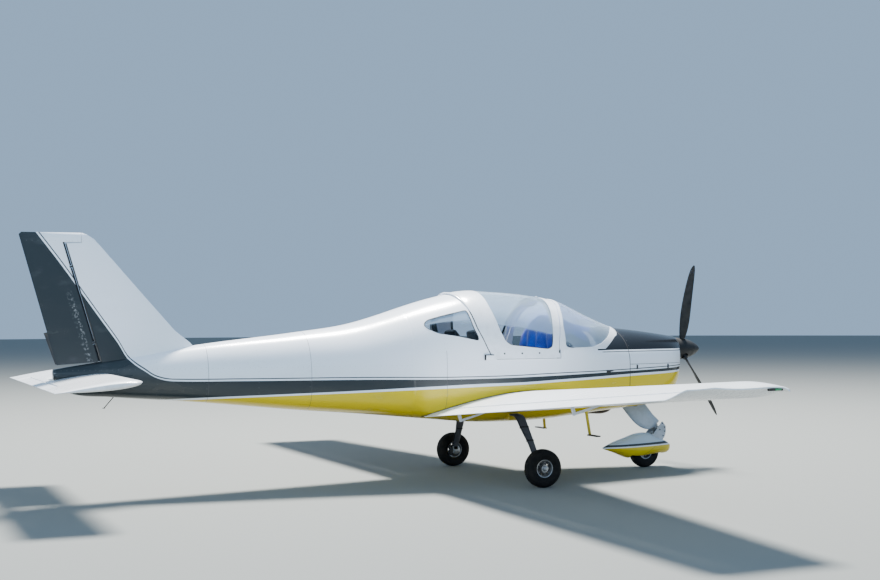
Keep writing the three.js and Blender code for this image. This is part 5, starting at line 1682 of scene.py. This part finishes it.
def main_leg(side, name):
    rows = [leg_row(k * 0.125) for k in range(0, 81)]
    rings = []
    for i, (y, z, x, half) in enumerate(rows):
        a, b = rows[max(i - 1, 0)], rows[min(i + 1, len(rows) - 1)]
        slope = Vector((b[0] - a[0], b[1] - a[1])).normalized()
        ring = []
        for k in range(24):
            turn = 2 * math.pi * k / 24
            u, w = math.cos(turn), math.sin(turn)
            reach = (abs(u) ** 5 + abs(w) ** 5) ** -0.2
            ring.append((x + half * u * reach, y - slope.y * 9 * w * reach, z + slope.x * 9 * w * reach))
        rings.append(ring)
    leaf = lofted("leaf", rings)
    carved(leaf, hull_tool())
    finished(
        sided(leaf, side, "main_leg_leaf_" + name), "airframe", LEG_GREY, ["main_leg_" + name],
    )
    hub_y, hub_z = MAIN_HUB_Y, MAIN_RADIUS
    inside = hub_y - MAIN_HALF * 0.66 - 5
    flange = rod("flange", (0, inside - 26, hub_z), (0, inside, hub_z), 46, sides=48, bevel=2.5)
    post = brick("post", (-26, inside - 26, hub_z), (26, inside - 2, 226), 4, 3)
    axle = rod("axle", (0, inside - 4, hub_z), (0, hub_y + 46, hub_z), 15, sides=32)
    nut = rod("nut", (0, hub_y + 45, hub_z), (0, hub_y + 54, hub_z), 22, sides=6, bevel=1.5)
    bolts = [rod("bolt", (x, inside - 34, z), (x, inside - 24, z), 6, sides=6) for x, z in (
        (-30, 190), (30, 190), (-30, 146), (30, 146),
    )]
    finished(
        sided(merged("axle", flange, post, axle, nut, *bolts), side, "main_axle_" + name), "airframe",
        STEEL,
    )
    caliper = brick("caliper", (-62, inside - 30, 116), (-30, inside + 4, 196), 6, 3)
    line = pipe("brake_line", [
        (-46, inside - 12, 192), (-42, 836, 262), (-48, 770, 360), (-62, 720, 436), (-80, 672, 507),
        (-92, 628, 574),
        (-97, 596, 604), (-98, 540, 614), (-98, 466, 610),
    ], 4)
    finished(
        sided(merged("brake", caliper, line), side, "brake_line_" + name), "airframe", DARK_METAL,
    )
    straps = []
    for t in (5.86, 7.42):
        y, z, x, half = leg_row(t)
        ahead = leg_row(t + 0.02)
        slope = Vector((0, ahead[0] - y, ahead[1] - z)).normalized()
        strap = brick("strap", (-half - 2, -6, -11.5), (half + 2, 6, 11.5), 2.5, 2)
        turn = Vector((0, 1, 0)).rotation_difference(slope).to_matrix().to_4x4()
        strap.data.transform(Matrix.Translation((x, y, z)) @ turn)
        straps.append(strap)
    finished(
        sided(merged("straps", *straps), side, "leg_straps_" + name), "airframe", BLACK_RUBBER,
    )
    clamp = brick("clamp", (-104, 390, 560), (4, 500, 630), 6, 3)
    carved(clamp, hull_tool())
    finished(sided(clamp, side, "leg_clamp_" + name), "airframe", STEP_YELLOW)


RAKE = math.radians(45)
LEG_FOOT = Vector((1770, 0, 370))


def leg_point(up):
    return LEG_FOOT + Vector((-math.sin(RAKE), 0, math.cos(RAKE))) * up


def leg_fairing(name, grow):
    """The nose leg's fairing, from its foot up into the cowl."""
    table = [
        (374, 1668, 1715, 32), (382, 1640, 1745, 36), (400, 1601, 1775, 40), (430, 1558, 1808, 42),
        (448, 1536, 1828, 43), (462, 1521, 1818, 44), (523, 1463, 1750, 46), (600, 1398, 1686, 46),
        (690, 1312, 1598, 46),
    ]
    rings = []
    for z in (374, 377, 382, 390, 400, 414, 430, 440, 448, 454, 462, 482, 502, 523, 560, 600, 645, 690):
        rear, front, half = row_at(table, z)
        pinch = 0.9 if z < 376 else 0.97 if z < 380 else 1
        ring = []
        for i in range(56):
            angle = 2 * math.pi * i / 56
            reach = ((front - rear) / 2 + grow) * pinch
            taper = 1 - 0.25 * (1 - math.cos(angle)) / 2
            ring.append((
                (rear + front) / 2 + reach * math.cos(angle),
                (half + grow) * math.sin(angle) * taper * pinch, z,
            ))
        rings.append(ring)
    return lofted(name, rings)


def nose_leg():
    skin = leg_fairing("nose_leg_fairing", 0)
    carved(
        skin, rod("cut", leg_point(-80), leg_point(120), 14.6, sides=32),
        rod("cut", leg_point(-120), leg_point(2), 90, sides=48),
    )
    strut = rod("nose_leg_strut", leg_point(3), leg_point(540), 27, sides=40)
    carved(strut, rod("cut", leg_point(-80), leg_point(120), 14.6, sides=32))
    beam = brick("nose_leg_beam", (1186, -30, 722), (1440, 30, 762), 4)
    finished(skin, "airframe", FAIRING_PAINTED_SHADE, ["nose_leg"])
    finished(merged("nose_leg_strut", strut, beam), "airframe", STEEL)


FORK_IN, FORK_OUT = 66, 72
FORK_PLATE = [
    (1822, 453), (1862, 402), (1862, 342), (1844, 293), (1814, 262), (1672, 130),
    (1640, 132), (1626, 158), (1640, 184), (1715, 328), (1750, 366), (1798, 424),
]


def nose_fork():
    hub = NOSE_HUB
    plates = [prism("plate", rounded(FORK_PLATE, 12), *sorted((s * FORK_IN, s * FORK_OUT))) for s in (-1, 1)]
    crown = prism("crown", rounded([
        (1850, 400), (1862, 390), (1862, 350), (1845, 340), (1790, 315), (1765, 322), (1800, 357),
    ], 10), -FORK_IN - 1, FORK_IN + 1)
    whole = carved(plates[0], crown, how="UNION")
    carved(whole, plates[1], how="UNION")
    bevelled(whole, 1.4, 2)
    finished(whole, "steered_fork", FORK_METAL, ["nose_fork"])
    stem = rod("stem", leg_point(-48), leg_point(112), 14, sides=32)
    axle = rod("axle", (hub[0], -FORK_OUT - 4, hub[2]), (hub[0], FORK_OUT + 4, hub[2]), 15, sides=32, bevel=2)
    collar = rod("collar", leg_point(-38), leg_point(-6), 34, sides=40, bevel=3)
    finished(merged("fork_stem", stem, axle, collar), "steered_fork", STEEL)
    bolts = []
    for x, z in ((1821, 431), (1791, 370), (1846, 392), (1846, 352), (1828, 308)):
        for s in (-1, 1):
            bolts.append(
                rod("bolt", (x, s * (FORK_OUT - 1), z), (x, s * (FORK_OUT + 5), z), 6.5, sides=6, bevel=0.8),
            )
    finished(merged("fork_bolts", *bolts), "steered_fork", DARK_METAL)


SPAT = [
    (1180, 9, 198, 207, 214, 2.2, 2.2),
    (1300, 62, 156, 214, 260, 2.3, 2.2),
    (1440, 96, 103, 218, 300, 2.6, 2.3),
    (1560, 109, 98, 221, 335, 2.7, 2.3),
    (1680, 111, 117, 224, 338, 2.8, 2.3),
    (1800, 104, 131, 226, 292, 2.8, 2.2),
    (1876, 92, 134, 219, 256, 2.6, 2.1),
    (1908, 72, 146, 210, 240, 2.4, 2.0),
]


def nose_spat():
    outer = body_solid("nose_spat_skin", SPAT, 1180, 1908, 0, step=14, count=80)
    bevelled(outer, 5, 3, 60)
    inner = body_solid("cut", SPAT, 1240, 1900, -4, step=14, count=80)
    slots = []
    for s in (-1, 1):
        low, high = sorted((s * (FORK_IN - 0.3), s * (FORK_OUT + 0.3)))
        slots.append(brick("cut", (1690, low, 240), (1850, high, 350)))
    carved(outer, inner, brick("cut", (1455, -84, 0), (1845, 84, 142), 18, 4), *slots)
    finished(outer, "steered_fork", SPAT_PAINT, ["nose_spat"])


# Propeller
PROP_X, PROP_PHASE = 2092, 0.277
BLADE_ROWS = [
    (118, 58, 34, 52, 0), (200, 84, 26, 44, 0), (330, 104, 18, 34, 4), (500, 102, 13, 26, 8),
    (680, 86, 9, 20, 6),
    (800, 62, 7, 17, 0), (863, 26, 4, 16, -8),
]


def blade(turn):
    rings = []
    for r in (
        118, 140, 165, 200, 250, 300, 350, 400, 450, 500, 560, 620, 680, 740, 780, 810, 830, 846, 857, 863,
    ):
        chord, thick, twist, sweep = row_at(BLADE_ROWS, r)
        if r > 830:
            chord *= (1, 0.93, 0.78, 0.62)[(846, 857, 863).index(r) + 1]
        ring = []
        for i in range(36):
            angle = 2 * math.pi * i / 36
            u = chord / 2 * math.cos(angle) + sweep
            v = thick / 2 * math.sin(angle) * (0.72 + 0.28 * math.cos(angle))
            t = -math.radians(twist)
            ring.append((u * math.sin(t) + v * math.cos(t), u * math.cos(t) - v * math.sin(t), r))
        rings.append(ring)
    piece = lofted("blade", rings)
    root = rod("root", (0, 0, 10), (0, 0, 128), 24, sides=36)
    pair = merged("blade", piece, root)
    pair.data.transform(Matrix.Translation((PROP_X, 0, THRUST_Z)) @ Matrix.Rotation(turn, 4, "X"))
    return pair


def propeller():
    turns = [PROP_PHASE + 2 * math.pi * k / 3 for k in range(3)]
    blades = merged("propeller_blades", *(blade(turn) for turn in turns))
    finished(blades, "propeller_body", BLADE_PAINT, ["propeller"])
    hub = rod("hub", (PROP_X - 26, 0, THRUST_Z), (PROP_X + 34, 0, THRUST_Z), 56, sides=48, bevel=3)
    shaft = rod("shaft", (1935, 0, THRUST_Z), (PROP_X, 0, THRUST_Z), 22, sides=32)
    finished(merged("propeller_hub", hub, shaft), "propeller_body", STEEL)
    back, length, radius = SPINNER_BACK_X, NOSE_X - SPINNER_BACK_X, 112
    profile = [(0, 0), (radius - 2, 0), (radius, 2)]
    for i in range(1, 40):
        s = math.sin(math.pi / 2 * i / 40)
        profile.append((radius * (1 - s ** 2.1) ** 0.72, length * s))
    profile += [(0, length)]
    shell = spun("spinner_skin", profile, (back, 0, THRUST_Z), (1, 0, 0), 96)
    for turn in turns:
        tip = Vector((PROP_X, -math.sin(turn) * 200, THRUST_Z + math.cos(turn) * 200))
        base = Vector((PROP_X, -math.sin(turn) * 66, THRUST_Z + math.cos(turn) * 66))
        carved(shell, rod("cut", base, tip, 38, sides=40))
    finished(shell, "propeller_body", SPINNER_BLACK, ["spinner"])
    rim_line = spun("spinner_back_plate", [
        (60, -4), (radius + 1, -4), (radius + 2, -1), (radius + 1, 3), (60, 3),
    ], (
        back, 0, THRUST_Z), (1, 0, 0), 96)
    finished(rim_line, "propeller_body", STEEL)


def boarding_steps():
    for side, name in SIDES.items():
        tube = rod("tube", (735, 414, 690), (775, 437, 388), 14, sides=32)
        carved(tube, body_solid("cut", DECK, HOOP_X, FIREWALL_X, 0.3))
        pad = brick("pad", (750, 424, 380), (795, 600, 392), 3, 3)
        finished(
            sided(tube, side, "boarding_step_" + name), "airframe", STEP_YELLOW,
            ["step_" + name],
        )
        finished(sided(pad, side, "step_tread_" + name), "airframe", BLACK_RUBBER)


def solid_materials():
    """Finishes for the two solids that are carried over as they are."""
    for node, finish in (("engine_block", IRON), ("firewall", FIREWALL_METAL)):
        piece = bpy.data.objects.get(node)
        for place in piece.material_slots:
            place.material = finish


# The parts, in order
cabin()
bulkhead_and_floor()
window_seals()
rear_windows()
tail_cone()
cowl()
cowl_details()
side_inlets()
canopy()
canopy_tubes()
canopy_fittings()
sill_rails()
windscreen()
seats()
instrument_board()
blue_cover()
fin_and_rudder()
stabilator()
for side, name in SIDES.items():
    wing_half(side, name)
    main_leg(side, name)
    hub, wheel = (0, side * MAIN_HUB_Y, MAIN_RADIUS), "main_wheel_" + name
    tyre("main_tyre_skin_" + name, wheel, "main_tyre_" + name, MAIN_RADIUS, MAIN_HALF, MAIN_RIM, hub)
    rim("main_rim_skin_" + name, wheel, "main_rim_" + name, MAIN_HALF, MAIN_RIM, hub)
nose_leg()
nose_fork()
nose_spat()
tyre("nose_tyre_skin", "nose_wheel", "nose_tyre", NOSE_RADIUS, NOSE_HALF, NOSE_RIM, NOSE_HUB)
rim("nose_rim_skin", "nose_wheel", "nose_rim", NOSE_HALF, NOSE_RIM, NOSE_HUB)
propeller()
boarding_steps()
solid_materials()


# Studio: a round pale floor, a pale sky, soft lights and a camera at the photo's angle
def studio():
    bpy.ops.object.select_all(action="DESELECT")
    bpy.ops.mesh.primitive_circle_add(vertices=256, radius=90, fill_type="NGON")
    floor = named("studio_floor")
    floor.data.materials.append(
        new_finish("studio_floor", Roughness=0.95, Base_Color=(0.20, 0.21, 0.20, 1))[0],
    )
    world = bpy.data.worlds.new("studio_light")
    bpy.context.scene.world = world
    world.use_nodes = True
    background = world.node_tree.nodes["Background"]
    background.inputs["Color"].default_value = (0.46, 0.69, 1.0, 1)
    background.inputs["Strength"].default_value = 0.72


def area_light(name, place, target, size, watts, colour=(1, 1, 1)):
    bpy.ops.object.light_add(type="AREA", location=place)
    light = named(name)
    light.data.shape = "DISK"
    light.data.size = size
    light.data.energy = watts
    light.data.color = colour
    light.rotation_euler = (Vector(target) - Vector(place)).to_track_quat("-Z", "Y").to_euler()


# Where the photo was taken from: turns in radians, metres, and the focal length in the photo's pixels
CAMERA_TURNS = 0.4218393324823607, 0.020486697032493163, -0.004483586502617504
CAMERA_PLACE = (-4.539793, -11.077295, 1.494710)
FOCAL_PIXELS, PHOTO_WIDTH, SENSOR_WIDTH = 1313.7137158095707, 880, 36


def camera():
    yaw, pitch, roll = CAMERA_TURNS
    forward = Vector((math.sin(yaw) * math.cos(pitch), math.cos(yaw) * math.cos(pitch), math.sin(pitch)))
    level = forward.cross(Vector((0, 0, 1))).normalized()
    above = level.cross(forward)
    right = level * math.cos(roll) + above * math.sin(roll)
    up = above * math.cos(roll) - level * math.sin(roll)
    lens_data = bpy.data.cameras.new("photo_view")
    lens_data.sensor_width = SENSOR_WIDTH
    lens_data.lens = SENSOR_WIDTH * FOCAL_PIXELS / PHOTO_WIDTH
    lens_data.clip_end = 300
    piece = bpy.data.objects.new("photo_view", lens_data)
    bpy.context.scene.collection.objects.link(piece)
    turn = Matrix((right, up, -forward)).transposed().to_4x4()
    piece.matrix_world = Matrix.Translation(CAMERA_PLACE) @ turn
    bpy.context.scene.camera = piece


studio()
area_light("key", (3, 7, 21), (0, 0, 0.6), 5, 26000, (1.0, 0.98, 0.94))
area_light("fill", (-12, -17, 9), (0, 0, 1), 12, 3400, (0.60, 0.80, 1.0))
camera()
